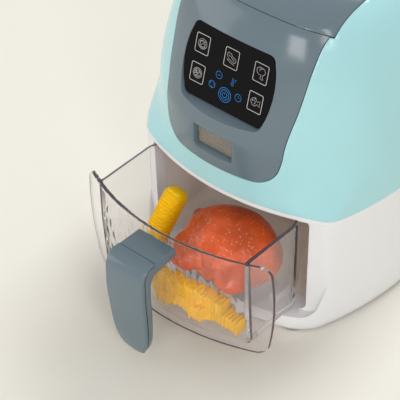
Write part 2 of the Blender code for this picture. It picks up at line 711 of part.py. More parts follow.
def seat_y(height):
    """The seat behind the closed drawer front, on the middle line."""
    lowest = (PANEL_FRONT_Y + CLOSING_TRAVEL + PANEL_THICKNESS + panel_setback(PANEL_BOTTOM) + FIT_GAP)
    share = (height - OPENING_BOTTOM) / (OPENING_TOP - OPENING_BOTTOM)
    return lowest - SEAT_LEAN * share - PANEL_THICKNESS


def seat_cutter():
    """The room that the closed drawer front fills."""
    rings = []
    low = OPENING_BOTTOM - CAVITY_BITE
    high = OPENING_TOP - FIT_GAP
    for height in panel_heights(low, high):
        half_width = panel_half_width(height, low, high) + SEAT_SIDE_GAP
        places = columns(half_width)
        ring = [(x, -CUT_OVERRUN, height) for x in places]
        ring += [(x, seat_y(height) + panel_arc_y(x, PANEL_THICKNESS), height) for x in reversed(places)]
        rings.append(ring)
    return add_object("seat_cutter", loft(rings))


def boss_places(places, height, setback):
    """Screw bosses along the housing's two side walls."""
    return [(side * (side_wall_x(y, height) - setback), y) for y in places for side in (-1.0, 1.0)]


def base_boss_places():
    """The bosses that hold the base plate."""
    return boss_places(BASE_BOSS_YS, base_bottom(), BASE_BOSS_SETBACK)


def seam_boss_places():
    """The bosses that hold the upper shell on the lower body."""
    return boss_places(SEAM_BOSS_YS, SEAM_HEIGHT - SEAM_DIP, SEAM_BOSS_SETBACK)


def side_wall_x(y, height):
    """Half the housing's width at a distance from the front and a height."""
    bow = BODY_SIDE_CROWN - math.sqrt(BODY_SIDE_CROWN ** 2 - (y - BODY_DEPTH / 2.0) ** 2)
    return body_half_width(height) - bow


def base_bottom():
    """The height of the housing's lower edge."""
    return BODY_ROW_SHARES[0][0] * BODY_HEIGHT


def base_top():
    """The height of the base plate's upper face."""
    return base_bottom() + BASE_THICKNESS


def seam_screw_bottom():
    """The lower end of the bosses under the seam."""
    return SEAM_HEIGHT - SEAM_DIP - SEAM_BOSS_HEIGHT


def add_bosses(target, name, places, low, high):
    """Join screw bosses to a shell."""
    posts = bmesh.new()
    for place in places:
        rod(BOSS_RADIUS, low, high, place, "Z", BOSS_SIDES, posts)
    combine(target, add_object(name, posts), "UNION")


def drill(target, name, places, low, high):
    """Drill upright screw holes."""
    holes = bmesh.new()
    for place in places:
        rod(SCREW_HOLE_RADIUS, low, high, place, "Z", HOLE_SIDES, holes)
    combine(target, add_object(name, holes))


def bay_screw_places():
    """Screws through the bay's flange, seen from the front."""
    places = []
    for height in BAY_SCREW_HEIGHTS:
        share = (OPENING_TOP - height) / (OPENING_TOP - OPENING_BOTTOM)
        x = OPENING_HALF_WIDTH - OPENING_DRAFT * share + BAY_SCREW_OFFSET
        places += [(-x, height), (x, height)]
    return places


def build_lower_body(looks):
    """The white lower body: shell, drawer opening, seat, runners and bosses."""
    body = add_object("lower_body", housing_skin(WHITE_INSET), looks["white"])
    hollow = add_object("lower_hollow", housing_skin(WHITE_INSET + WALL, True))
    behind = extrude([(-BODY_DEPTH, -BODY_HEIGHT), (BODY_DEPTH, -BODY_HEIGHT),
                      (BODY_DEPTH, BODY_HEIGHT * 2.0), (-BODY_DEPTH, BODY_HEIGHT * 2.0)],
                     "Y", FRAME_BACK_Y, BODY_DEPTH * 2.0)
    combine(hollow, add_object("lower_hollow_limit", behind), "INTERSECT")
    combine(body, hollow)
    combine(body, below_seam("lower_limit", -FIT_GAP), "INTERSECT")
    opening = extrude(opening_outline(), "Y", -CUT_OVERRUN, FRAME_BACK_Y + CUT_OVERRUN)
    combine(body, add_object("opening_cutter", opening))
    combine(body, seat_cutter())
    add_bosses(body, "base_bosses", base_boss_places(), base_top() + FIT_GAP,
               base_top() + BASE_BOSS_HEIGHT)
    webs = bmesh.new()
    web_height = BASE_BOSS_HEIGHT - BASE_BOSS_WEB_STEP * 2.0
    for x, y in base_boss_places():
        reach = math.copysign(BASE_BOSS_WEB_REACH, x)
        block(webs, (x + reach / 2.0, y, base_top() + BASE_BOSS_HEIGHT / 2.0),
              (BASE_BOSS_WEB_REACH, BASE_BOSS_WEB, web_height))
    combine(body, add_object("base_boss_webs", webs), "UNION")
    seam_low = seam_screw_bottom()
    seam_top = SEAM_HEIGHT - SEAM_DIP - FIT_GAP
    add_bosses(body, "seam_bosses", seam_boss_places(), seam_low, seam_top)
    runners = bmesh.new()
    for x in (-RUNNER_X, RUNNER_X):
        block(runners, (x, (runner_front() + FRAME_BACK_Y) / 2.0, runner_middle()),
              (RUNNER_WIDTH, FRAME_BACK_Y - runner_front(), runner_height()))
    combine(body, add_object("front_runners", runners), "UNION")
    drill(body, "base_boss_holes", base_boss_places(), 0.0,
          base_bottom() + COUNTERBORE_DEPTH + SCREW_LENGTH + SCREW_HOLE_MARGIN)
    drill(body, "seam_boss_holes", seam_boss_places(), seam_low - SCREW_HOLE_MARGIN,
          seam_top + SCREW_HOLE_MARGIN)
    holes = bmesh.new()
    for place in bay_screw_places():
        rod(SCREW_HOLE_RADIUS, bay_screw_seat() - SCREW_LENGTH - SCREW_HOLE_MARGIN,
            FRAME_BACK_Y + SCREW_HOLE_MARGIN, place, "Y", HOLE_SIDES, holes)
    combine(body, add_object("bay_screw_holes", holes))


def bay_screw_seat():
    """Where the heads of the bay's screws bear."""
    return FRAME_BACK_Y + FIT_GAP + BAY_FLANGE_THICKNESS + FIT_GAP


def runner_front():
    """Where the front runners start, behind the seat of the closed drawer front."""
    outer = RUNNER_X + RUNNER_WIDTH / 2.0
    return seat_y(OPENING_BOTTOM) + panel_arc_y(outer, PANEL_THICKNESS) + RUNNER_SETBACK


def runner_height():
    """The height of a runner with its root."""
    return TRAY_BOTTOM - FIT_GAP - OPENING_BOTTOM + RUNNER_ROOT


def runner_middle():
    """The middle height of a runner."""
    return OPENING_BOTTOM - RUNNER_ROOT + runner_height() / 2.0


def block(bm, centre, size):
    """A box added to a bmesh."""
    x, y, z = (side / 2.0 for side in size)
    outline = [(centre[0] - x, centre[1] - y), (centre[0] + x, centre[1] - y),
               (centre[0] + x, centre[1] + y), (centre[0] - x, centre[1] + y)]
    return extrude(outline, "Z", centre[2] - z, centre[2] + z, bm)


def build_bay(looks):
    """The bay that the drawer slides into, with its flange and runners."""
    front = FRAME_BACK_Y + FIT_GAP
    bay = add_object("bay_liner", extrude(opening_outline(BAY_WALL), "Y", front, BAY_REAR_Y + BAY_WALL),
                     looks["white"])
    flange = extrude(opening_outline(BAY_FLANGE), "Y", front, front + BAY_FLANGE_THICKNESS)
    combine(bay, add_object("bay_flange", flange), "UNION")
    combine(bay, add_object("bay_cavity", extrude(opening_outline(), "Y", front - CUT_OVERRUN, BAY_REAR_Y)))
    runners = bmesh.new()
    for x in (-RUNNER_X, RUNNER_X):
        block(runners, (x, (front + BAY_REAR_Y + RUNNER_ROOT) / 2.0, runner_middle()),
              (RUNNER_WIDTH, BAY_REAR_Y + RUNNER_ROOT - front, runner_height()))
    combine(bay, add_object("rear_runners", runners), "UNION")
    holes = bmesh.new()
    for place in bay_screw_places():
        rod(SCREW_HOLE_RADIUS, front - CUT_OVERRUN, front + CUT_OVERRUN, place, "Y", HOLE_SIDES, holes)
    combine(bay, add_object("bay_flange_holes", holes))


def band_outline(grow):
    """The grey band, seen from the front."""
    bottom = BAND_BOTTOM - grow
    radius = BAND_CORNER_RADIUS + grow
    centre = (BAND_FLAT_HALF_WIDTH, bottom + radius)
    half = arc(centre, radius, -math.pi / 2.0, -math.pi / 12.0, BAND_CORNER_POINTS)
    half += [(width * BODY_HALF_WIDTH + grow, share * BODY_HEIGHT) for share, width in BAND_SHARES]
    half += [(COVER_HALF_WIDTH + grow, COVER_START_SHARE * BODY_HEIGHT)]
    half += [(COVER_HALF_WIDTH + grow, BODY_HEIGHT + CUT_OVERRUN)]
    return mirrored(half)


def cover_outline(grow):
    """The grey cover, seen from above."""
    half_width = COVER_HALF_WIDTH + grow
    rear = COVER_REAR_Y + grow
    radius = COVER_REAR_RADIUS + grow
    return fillet([(-half_width, -CUT_OVERRUN, 0.0), (half_width, -CUT_OVERRUN, 0.0),
                   (half_width, rear, radius), (-half_width, rear, radius)], COVER_CORNER_POINTS)


def seam_wedge(name, above, lift):
    """The space above or below the seam between control panel and top cover."""
    front = -CUT_OVERRUN
    rear = BODY_DEPTH + CUT_OVERRUN
    line = [(y, COVER_SEAM_Z + COVER_SEAM_SLOPE_SHARE * (y - COVER_SEAM_Y) + lift) for y in (front, rear)]
    limit = BODY_HEIGHT * 2.0 if above else -BODY_HEIGHT
    width = BODY_HALF_WIDTH * 2.0
    return add_object(name, extrude([*line, (rear, limit), (front, limit)], "X", -width, width))


def panel_zone(name, grow, lift):
    """The space that the control panel may fill."""
    zone = add_object(name, extrude(band_outline(grow), "Y", -CUT_OVERRUN, BODY_DEPTH / 2.0))
    combine(zone, seam_wedge(name + "_wedge", False, lift), "INTERSECT")
    return zone


def cover_zone(name, grow, lift):
    """The space that the top cover may fill."""
    zone = add_object(name, extrude(cover_outline(grow), "Z", SEAM_HEIGHT, BODY_HEIGHT + CUT_OVERRUN))
    combine(zone, seam_wedge(name + "_wedge", True, lift), "INTERSECT")
    return zone


def build_upper_shell(looks):
    """The mint upper shell, open in front and on top for the grey band."""
    shell = add_object("upper_shell", housing_skin(), looks["mint"])
    combine(shell, add_object("upper_hollow", housing_skin(WALL, True)))
    combine(shell, below_seam("upper_limit", 0.0))
    low = SEAM_HEIGHT - SEAM_DIP
    add_bosses(shell, "shell_bosses", seam_boss_places(), low,
               low + SEAM_BOSS_HEIGHT + SEAM_BOSS_OVERLAP)
    drill(shell, "shell_boss_holes", seam_boss_places(), low - SCREW_HOLE_MARGIN,
          seam_screw_bottom() - FIT_GAP + SCREW_LENGTH + SEAM_BOSS_HEIGHT)
    combine(shell, panel_zone("shell_panel_cut", BAND_GAP, BAND_GAP))
    combine(shell, cover_zone("shell_cover_cut", BAND_GAP, -BAND_GAP))


def build_top_cover(looks):
    """The grey cover on top."""
    cover = add_object("top_cover", housing_skin(), looks["slate"])
    combine(cover, add_object("cover_hollow", housing_skin(WALL, True)))
    combine(cover, cover_zone("cover_limit", 0.0, FIT_GAP), "INTERSECT")


def on_lens(x, up):
    """A point of the lens plane in the housing's frame."""
    return (x, LENS_Y + up * math.sin(LENS_LEAN), LENS_Z + up * math.cos(LENS_LEAN))


LENS_TURN = (math.pi / 2.0 - LENS_LEAN, 0.0, 0.0)


def lens_object(name, bm, look=None, x=0.0, up=0.0):
    """An object drawn on the lens plane, its local z pointing out of the panel."""
    return add_object(name, bm, look, on_lens(x, up), LENS_TURN)


def lens_outline(grow, lip=0.0):
    """The lens outline: straight top and bottom, bowed sides."""
    radius = LENS_SIDE_RADIUS + grow
    centre = LENS_HALF_WIDTH - LENS_SIDE_RADIUS
    low = LENS_BOTTOM - grow - lip
    high = LENS_TOP + grow
    corner = LENS_CORNER_RADIUS + grow
    right = []
    for i in range(LENS_SIDE_POINTS + 1):
        up = low + (high - low) * i / LENS_SIDE_POINTS
        level = LENS_BOTTOM + (up - low) * (LENS_TOP - LENS_BOTTOM) / (high - low)
        x = centre + math.sqrt(radius ** 2 - (level - LENS_WIDEST) ** 2)
        right.append((x, up, corner if i in (0, LENS_SIDE_POINTS) else 0.0))
    left = [(-x, up, round_radius) for x, up, round_radius in reversed(right)]
    return fillet(right + left, LENS_CORNER_POINTS)


def flared(outline, flared_outline, deep, near, rise):
    """A pocket: straight from its floor to the near level, then flaring out over its rise."""
    rings = []
    for points, level in ((outline, deep), (outline, near), (flared_outline, rise)):
        rings.append([(x, y, level) for x, y in points])
    return loft(rings)


def key_outline(grow=0.0):
    """A food key's outline."""
    return rectangle(KEY_WIDTH / 2.0 + grow, -KEY_HEIGHT / 2.0 - grow, KEY_HEIGHT / 2.0 + grow,
                     KEY_CORNER + grow)


def power_outline(grow=0.0):
    """The power key's outline."""
    return arc((0.0, 0.0), POWER_KEY_RADIUS + grow, 0.0,
               math.tau * (1.0 - 1.0 / POWER_KEY_SIDES), POWER_KEY_SIDES - 1)


def key_places():
    """Each key's name, outline function and place on the lens plane."""
    food = [(-KEY_X, KEY_UPPER), (0.0, KEY_UPPER), (KEY_X, KEY_UPPER), (-KEY_X, KEY_LOWER),
            (KEY_X, KEY_LOWER)]
    keys = [(f"food_key_{i + 1}", key_outline, place) for i, place in enumerate(food)]
    return [*keys, ("power_key", power_outline, (0.0, POWER_KEY_HEIGHT))]


def overlay_back():
    """The level of the overlay's rear face, below the lens plane."""
    return -LENS_THICKNESS


def floor_back():
    """The level of the pocket floor's rear face."""
    return overlay_back() - FIT_GAP - POCKET_FLOOR


def flange_back():
    """The level of a key's rear face."""
    return floor_back() - FIT_GAP - KEY_FLANGE


def mat_front():
    """The level of the keypad mat's front."""
    return flange_back() - KEY_TRAVEL - FIT_GAP


def board_front():
    """The level of the circuit board's front."""
    return mat_front() - MAT_THICKNESS - FIT_GAP


def key_hole_cutter(name):
    """Holes for all keys."""
    holes = bmesh.new()
    for _, outline, (x, up) in key_places():
        extrude([(x + u, up + v) for u, v in outline(FIT_GAP)], "Z", mat_front(), CUT_OVERRUN, holes)
    return lens_object(name, holes)


def display_outline(grow=0.0):
    """The display's outline, seen from the front."""
    return rectangle(DISPLAY_HALF_WIDTH + grow, DISPLAY_BOTTOM - grow, DISPLAY_TOP + grow,
                     DISPLAY_CORNER + grow)


def display_back():
    """The rear of the display screen."""
    return DISPLAY_FRONT_Y + DISPLAY_WINDOW + FIT_GAP + DISPLAY_SCREEN


def build_control_panel(looks):
    """The grey control panel with the lens pocket, key holes, display pocket and bosses."""
    panel = add_object("control_panel", housing_skin(), looks["slate"])
    hollow = add_object("panel_hollow", housing_skin(WALL, True))
    tub = extrude(lens_outline(POCKET_WALL), "Z", floor_back(), CUT_OVERRUN)
    combine(hollow, lens_object("lens_tub", tub))
    display_tub = extrude(display_outline(DISPLAY_WALL), "Y", -CUT_OVERRUN,
                          display_back() + FIT_GAP + DISPLAY_WALL)
    combine(hollow, add_object("display_tub", display_tub))
    combine(panel, hollow)
    combine(panel, panel_zone("panel_limit", 0.0, 0.0), "INTERSECT")
    pocket = flared(lens_outline(FIT_GAP), lens_outline(POCKET_FLARE, POCKET_LIP_FLARE),
                    overlay_back() - FIT_GAP, 0.0, POCKET_RISE)
    combine(panel, lens_object("lens_pocket", pocket))
    combine(panel, key_hole_cutter("panel_key_holes"))
    rings = []
    for grow, y in ((FIT_GAP, display_back() + FIT_GAP), (FIT_GAP, DISPLAY_FRONT_Y),
                    (DISPLAY_FLARE, DISPLAY_FRONT_Y - DISPLAY_RISE)):
        rings.append([(x, y, z) for x, z in display_outline(grow)])
    combine(panel, add_object("display_pocket", loft(rings)))
    posts = bmesh.new()
    holes = bmesh.new()
    for place in board_screw_places():
        rod(BOARD_BOSS_RADIUS, board_front() + FIT_GAP, floor_back() + SCREW_HOLE_MARGIN, place, "Z",
            HOLE_SIDES, posts)
        rod(SCREW_HOLE_RADIUS, board_front() - FIT_GAP, floor_back() - SCREW_HOLE_MARGIN, place, "Z",
            HOLE_SIDES, holes)
    combine(panel, lens_object("board_posts", posts), "UNION")
    combine(panel, lens_object("board_post_holes", holes))


def board_screw_places():
    """The four board screws, on the lens plane."""
    return [(side * x, up) for x, up in BOARD_BOSSES for side in (-1.0, 1.0)]


def build_keys(looks):
    """The lens overlay and the six keys that stand in it."""
    overlay = lens_object("panel_overlay", extrude(lens_outline(0.0), "Z", overlay_back(), 0.0),
                          looks["black"])
    combine(overlay, key_hole_cutter("overlay_key_holes"))
    for name, outline, (x, up) in key_places():
        levels = ((0.0, 0.0), (0.0, floor_back() - FIT_GAP), (KEY_FLANGE_RIM, floor_back() - FIT_GAP),
                  (KEY_FLANGE_RIM, flange_back()))
        rings = [[(u, v, level) for u, v in outline(grow)] for grow, level in levels]
        lens_object(name, loft(rings), looks["black"], x, up)


def build_electronics(looks):
    """Keypad mat, circuit board with its chip, indicator lights and display."""
    mat = extrude(rectangle(MAT_HALF_WIDTH, MAT_BOTTOM, MAT_TOP, BOARD_CORNER), "Z",
                  mat_front() - MAT_THICKNESS, mat_front())
    lens_object("keypad_mat", mat, looks["rubber"])
    back = board_front() - BOARD_THICKNESS
    board = extrude(rectangle(BOARD_HALF_WIDTH, BOARD_BOTTOM, BOARD_TOP, BOARD_CORNER), "Z", back,
                    board_front())
    board = lens_object("circuit_board", board, looks["board"])
    chip = bmesh.new()
    block(chip, (0.0, 0.0, back - CHIP_HEIGHT / 2.0 + CAVITY_BITE),
          (CHIP_HALF_SIDE * 2.0, CHIP_HALF_SIDE * 2.0, CHIP_HEIGHT))
    combine(board, lens_object("board_chip", chip), "UNION")
    holes = bmesh.new()
    for place in board_screw_places():
        rod(SCREW_HOLE_RADIUS, back - CUT_OVERRUN, board_front() + CUT_OVERRUN, place, "Z", HOLE_SIDES,
            holes)
    combine(board, lens_object("board_holes", holes))
    for i, x in enumerate((-LED_X, 0.0, LED_X)):
        light = rod(LED_RADIUS, board_front() + FIT_GAP, board_front() + FIT_GAP + LED_HEIGHT, (x, LED_UP),
                    "Z", LED_SIDES)
        lens_object(f"indicator_led_{i + 1}", light, looks["blue"])
    window = extrude(display_outline(), "Y", DISPLAY_FRONT_Y, DISPLAY_FRONT_Y + DISPLAY_WINDOW)
    add_object("display_window", window, looks["clear"])
    screen = extrude(display_outline(), "Y", DISPLAY_FRONT_Y + DISPLAY_WINDOW + FIT_GAP, display_back())
    add_object("display_screen", screen, looks["screen"])


def screw(place, seat, direction, axis, length=SCREW_LENGTH):
    """A screw whose head bears at the seat and whose shank runs along the direction."""
    tip = seat + direction * length
    head = seat - direction * SCREW_HEAD_HEIGHT
    rings = []
    for radius, level in ((SCREW_HEAD_RADIUS, head), (SCREW_HEAD_RADIUS, seat),
                          (SCREW_SHANK_RADIUS, seat), (SCREW_SHANK_RADIUS, tip)):
        ring = []
        for i in range(SCREW_SIDES):
            angle = math.tau * i / SCREW_SIDES
            u = place[0] + radius * math.cos(angle)
            v = place[1] + radius * math.sin(angle)
            ring.append((u, level, v) if axis == "Y" else (u, v, level))
        rings.append(ring)
    return loft(rings)


def build_screws(looks):
    """Housing, board and handle screws."""
    base_seat = base_bottom() + COUNTERBORE_DEPTH - FIT_GAP
    for i, place in enumerate(base_boss_places()):
        add_object(f"base_screw_{i + 1}", screw(place, base_seat, 1.0, "Z"), looks["steel"])
    for i, place in enumerate(seam_boss_places()):
        add_object(f"seam_screw_{i + 1}", screw(place, seam_screw_bottom() - FIT_GAP, 1.0, "Z"),
                   looks["steel"])
    for i, place in enumerate(bay_screw_places()):
        add_object(f"bay_screw_{i + 1}", screw(place, bay_screw_seat(), -1.0, "Y"), looks["steel"])
    for i, place in enumerate(board_screw_places()):
        made = screw(place, board_front() - BOARD_THICKNESS - FIT_GAP, 1.0, "Z", BOARD_SCREW_LENGTH)
        lens_object(f"board_screw_{i + 1}", made, looks["steel"])
    seat = PANEL_FRONT_Y + panel_setback(handle_screw_height()) + panel_arc_y(HANDLE_SCREW_X, 0.0)
    seat += PANEL_THICKNESS + FIT_GAP
    for i, x in enumerate((-HANDLE_SCREW_X, HANDLE_SCREW_X)):
        add_object(f"handle_screw_{i + 1}", screw((x, handle_screw_height()), seat, -1.0, "Y"),
                   looks["steel"])


def build_base(looks):
    """The base plate with its battery hatch, speaker grille and feet."""
    base = add_object("base_plate", housing_skin(WHITE_INSET + WALL + FIT_GAP, True), looks["white"])
    limit = bmesh.new()
    depth = BODY_DEPTH - FRAME_BACK_Y
    block(limit, (0.0, FRAME_BACK_Y + FIT_GAP + depth / 2.0, base_bottom() + BASE_THICKNESS / 2.0),
          (BODY_DEPTH, depth, BASE_THICKNESS))
    combine(base, add_object("base_limit", limit), "INTERSECT")
    hatch = bmesh.new()
    block(hatch, (0.0, BATTERY_Y, base_bottom()),
          (battery_half_x() * 2.0, battery_half_y() * 2.0, CUT_OVERRUN))
    combine(base, add_object("hatch_hole", hatch))
    recess = bmesh.new()
    low, high = door_ends()
    block(recess, (0.0, (low + high) / 2.0, base_bottom()),
          ((door_half_x() + FIT_GAP) * 2.0, high - low + FIT_GAP * 2.0, (DOOR_THICKNESS + FIT_GAP) * 2.0))
    combine(base, add_object("door_recess", recess))
    post = rod(BOSS_RADIUS, base_top() - SCREW_HOLE_MARGIN, base_top() + DOOR_BOSS_HEIGHT,
               (0.0, door_screw_y()), "Z", BOSS_SIDES)
    combine(base, add_object("door_boss", post), "UNION")
    counterbores = bmesh.new()
    for place in base_boss_places():
        rod(COUNTERBORE_RADIUS, 0.0, base_bottom() + COUNTERBORE_DEPTH, place, "Z", BOSS_SIDES,
            counterbores)
    combine(base, add_object("counterbores", counterbores))
    drill(base, "base_plate_holes", [*base_boss_places(), (0.0, door_screw_y())], 0.0,
          base_top() + DOOR_BOSS_HEIGHT - FIT_GAP)
    grille = bmesh.new()
    rod(GRILLE_HOLE_RADIUS, 0.0, base_top() + FIT_GAP, (SPEAKER_X, SPEAKER_Y), "Z", HOLE_SIDES, grille)
    for i in range(GRILLE_COUNT):
        angle = math.tau * i / GRILLE_COUNT
        place = (SPEAKER_X + GRILLE_RING_RADIUS * math.cos(angle),
                 SPEAKER_Y + GRILLE_RING_RADIUS * math.sin(angle))
        rod(GRILLE_HOLE_RADIUS, 0.0, base_top() + FIT_GAP, place, "Z", HOLE_SIDES, grille)
    combine(base, add_object("speaker_grille", grille))
    feet = {"front_left": (-FOOT_FRONT_X, FOOT_FRONT_Y), "front_right": (FOOT_FRONT_X, FOOT_FRONT_Y),
            "rear_left": (-FOOT_REAR_X, FOOT_REAR_Y), "rear_right": (FOOT_REAR_X, FOOT_REAR_Y)}
    for name, place in feet.items():
        foot = rod(FOOT_RADIUS, 0.0, base_bottom() - FIT_GAP, place, "Z", FOOT_SIDES)
        add_object(f"foot_{name}", foot, looks["rubber"])


def battery_half_x():
    """Half the battery tray's inner length."""
    return ((CELL_LENGTH + CELL_NUB_LENGTH) / 2.0 + CONTACT_SPRING_LENGTH + CONTACT_THICKNESS
            + FIT_GAP * 2.0)


def battery_half_y():
    """Half the battery tray's inner width."""
    return CELL_PITCH * (CELL_COUNT - 1) / 2.0 + CELL_RADIUS + FIT_GAP


def cell_height():
    """The height of the cells' axes."""
    return base_top() + FIT_GAP + CELL_RADIUS


def door_half_x():
    """Half the battery door's length."""
    return battery_half_x() + DOOR_RIM


def door_ends():
    """The battery door's front and rear edges."""
    return BATTERY_Y - battery_half_y() - DOOR_RIM - DOOR_TAB, BATTERY_Y + battery_half_y() + DOOR_RIM


def door_screw_y():
    """The place of the battery door's screw."""
    return door_ends()[0] + DOOR_SCREW_INSET


def build_batteries(looks):
    """Battery tray, contacts, cells and door."""
    half_x = battery_half_x()
    half_y = battery_half_y()
    low = base_top() + FIT_GAP
    high = cell_height() + CELL_RADIUS + FIT_GAP
    outside = bmesh.new()
    block(outside, (0.0, BATTERY_Y, (low + high + BATTERY_WALL) / 2.0),
          ((half_x + BATTERY_WALL) * 2.0, (half_y + BATTERY_WALL) * 2.0, high + BATTERY_WALL - low))
    tray = add_object("battery_tray", outside, looks["white"])
    inside = bmesh.new()
    block(inside, (0.0, BATTERY_Y, high - CUT_OVERRUN), (half_x * 2.0, half_y * 2.0, CUT_OVERRUN * 2.0))
    combine(tray, add_object("battery_room", inside))
    for i, y in enumerate(cell_ys()):
        add_object(f"battery_cell_{i + 1}", cell((y, cell_height()), cell_facing(i)), looks["cell"])
    for name, side in (("left", -1.0), ("right", 1.0)):
        add_contact_strip(name, side, looks["steel"])
    door = bmesh.new()
    front, rear = door_ends()
    block(door, (0.0, (front + rear) / 2.0, base_bottom() + DOOR_THICKNESS / 2.0),
          (door_half_x() * 2.0, rear - front, DOOR_THICKNESS))
    door = add_object("battery_door", door, looks["white"])
    drill(door, "door_screw_hole", [(0.0, door_screw_y())], 0.0, base_top())
    add_object("battery_door_screw", screw((0.0, door_screw_y()), base_bottom() - FIT_GAP, 1.0, "Z"),
               looks["steel"])


def cell_ys():
    """The cells' places from front to rear."""
    return [BATTERY_Y + CELL_PITCH * (i - (CELL_COUNT - 1) / 2.0) for i in range(CELL_COUNT)]


def cell_facing(index):
    """Which way a cell's raised end faces."""
    return 1.0 if index % 2 else -1.0


def cell(place, facing):
    """A cell with its raised end facing along +X or -X."""
    start = -facing * (CELL_LENGTH + CELL_NUB_LENGTH) / 2.0
    shoulder = start + facing * CELL_LENGTH
    rings = []
    for radius, x in ((CELL_RADIUS, start), (CELL_RADIUS, shoulder), (CELL_NUB_RADIUS, shoulder),
                      (CELL_NUB_RADIUS, shoulder + facing * CELL_NUB_LENGTH)):
        ring = []
        for i in range(CELL_SIDES):
            angle = math.tau * (i + 0.5) / CELL_SIDES
            ring.append((x, place[0] + radius * math.cos(angle), place[1] + radius * math.sin(angle)))
        rings.append(ring)
    return loft(rings)


def add_contact_strip(name, side, look):
    """The contact strip at one end of the cells, with a spring or a stud for each."""
    wall = side * (battery_half_x() - FIT_GAP)
    face = wall - side * CONTACT_THICKNESS
    reach = side * ((CELL_LENGTH + CELL_NUB_LENGTH) / 2.0 + FIT_GAP)
    strip = bmesh.new()
    block(strip, ((wall + face) / 2.0, BATTERY_Y, cell_height()),
          (CONTACT_THICKNESS, CELL_PITCH * (CELL_COUNT - 1) + CONTACT_WIDTH, CONTACT_HEIGHT))
    strip = add_object(f"battery_contact_{name}", strip, look)
    studs = bmesh.new()
    root = (wall + face) / 2.0
    for i, y in enumerate(cell_ys()):
        radius = CELL_NUB_RADIUS if side == cell_facing(i) else CONTACT_SPRING_RADIUS
        rod(radius, min(root, reach), max(root, reach), (y, cell_height()), "X", HOLE_SIDES, studs)
    combine(strip, add_object(f"contact_studs_{name}", studs), "UNION")


def build_speaker(looks):
    """The speaker over the grille."""
    low = base_top() + FIT_GAP
    rings = []
    for radius, level in ((SPEAKER_RADIUS, low), (SPEAKER_RADIUS, low + SPEAKER_HEIGHT),
                          (SPEAKER_MAGNET_RADIUS, low + SPEAKER_HEIGHT),
                          (SPEAKER_MAGNET_RADIUS, low + SPEAKER_HEIGHT + SPEAKER_MAGNET_HEIGHT)):
        ring = []
        for i in range(SPEAKER_SIDES):
            angle = math.tau * i / SPEAKER_SIDES
            ring.append((SPEAKER_X + radius * math.cos(angle), SPEAKER_Y + radius * math.sin(angle), level))
        rings.append(ring)
    add_object("speaker", loft(rings), looks["dark"])


def handle_point(reach, height):
    """A point of the handle's side view."""
    return Vector((0.0, PANEL_FRONT_Y - FIT_GAP - reach * HANDLE_REACH,
                   HANDLE_BOTTOM + height * (HANDLE_TOP - HANDLE_BOTTOM)))


def handle_screw_height():
    """The height of the handle's screws."""
    return handle_point(0.0, HANDLE_SCREW_SHARE).z


def grip_ring(outer, inner, half_width):
    """One station of the rear half: flat towards the seam, with rounded inner edges."""
    depth = (inner - outer).length
    unit = (inner - outer).normalized()
    edge = min(HANDLE_EDGE, depth / 3.0, half_width / 2.0)
    profile = ((-half_width, 0.0), (half_width, 0.0), (half_width, depth - edge),
               (half_width - edge, depth), (edge - half_width, depth), (-half_width, depth - edge))
    return [outer + unit * down + Vector((x, 0.0, 0.0)) for x, down in profile]


def build_handle(looks):
    """The handle: a rear half that is screwed to the drawer, and a front cover."""
    rings = []
    for outer_reach, outer_height, inner_reach, inner_height in STUB_SHARES:
        rings.append(grip_ring(handle_point(outer_reach, outer_height),
                               handle_point(inner_reach, inner_height), HANDLE_HALF_WIDTH))
    cover = []
    for reach, height, inner_reach, inner_height, front_reach, front_height, width in HANDLE_SHARES:
        seam = handle_point(reach, height)
        inner = handle_point(inner_reach, inner_height)
        front = handle_point(front_reach, front_height)
        half_width = HANDLE_HALF_WIDTH * width
        gap = (inner - seam).normalized() * FIT_GAP
        rings.append(grip_ring(seam + gap, inner, half_width))
        cover.append(cover_ring(seam, front, half_width))
    grip = add_object("handle_grip", loft(rings), looks["slate"])
    holes = bmesh.new()
    for x in (-HANDLE_SCREW_X, HANDLE_SCREW_X):
        rod(SCREW_HOLE_RADIUS, PANEL_FRONT_Y - SCREW_LENGTH, PANEL_FRONT_Y + CUT_OVERRUN,
            (x, handle_screw_height()), "Y", HOLE_SIDES, holes)
    combine(grip, add_object("grip_screw_holes", holes))
    add_object("handle_front_cover", loft(cover), looks["slate"])


def cover_ring(seam, front, half_width):
    """One station of the front cover: flat towards the seam, crowned in front."""
    depth = (front - seam).length
    unit = (front - seam).normalized()
    edge = min(HANDLE_FRONT_EDGE, half_width / 2.0)
    shoulder = depth * COVER_SHOULDER_SHARE
    middle = (shoulder + depth) / 2.0
    step_in = edge * COVER_STEP_SHARE
    rise = depth - min(HANDLE_CROWN, depth * COVER_CROWN_SHARE)
    profile = ((-half_width, 0.0), (-half_width, shoulder), (step_in - half_width, middle),
               (edge - half_width, rise), (0.0, depth), (half_width - edge, rise),
               (half_width - step_in, middle), (half_width, shoulder), (half_width, 0.0))
    return [seam + unit * down + Vector((x, 0.0, 0.0)) for x, down in profile]


def ellipsoid(centre, radii, bm=None):
    """A rounded lump."""
    bm = bm or bmesh.new()
    place = Matrix.Translation(centre) @ Matrix.Diagonal((*radii, 1.0))
    bmesh.ops.create_uvsphere(bm, u_segments=FOOD_SEGMENTS, v_segments=FOOD_RINGS, radius=1.0, matrix=place)
    return bm


def food_floor():
    """The height that the play food rests at."""
    return TRAY_BOTTOM + TRAY_FLOOR + FIT_GAP


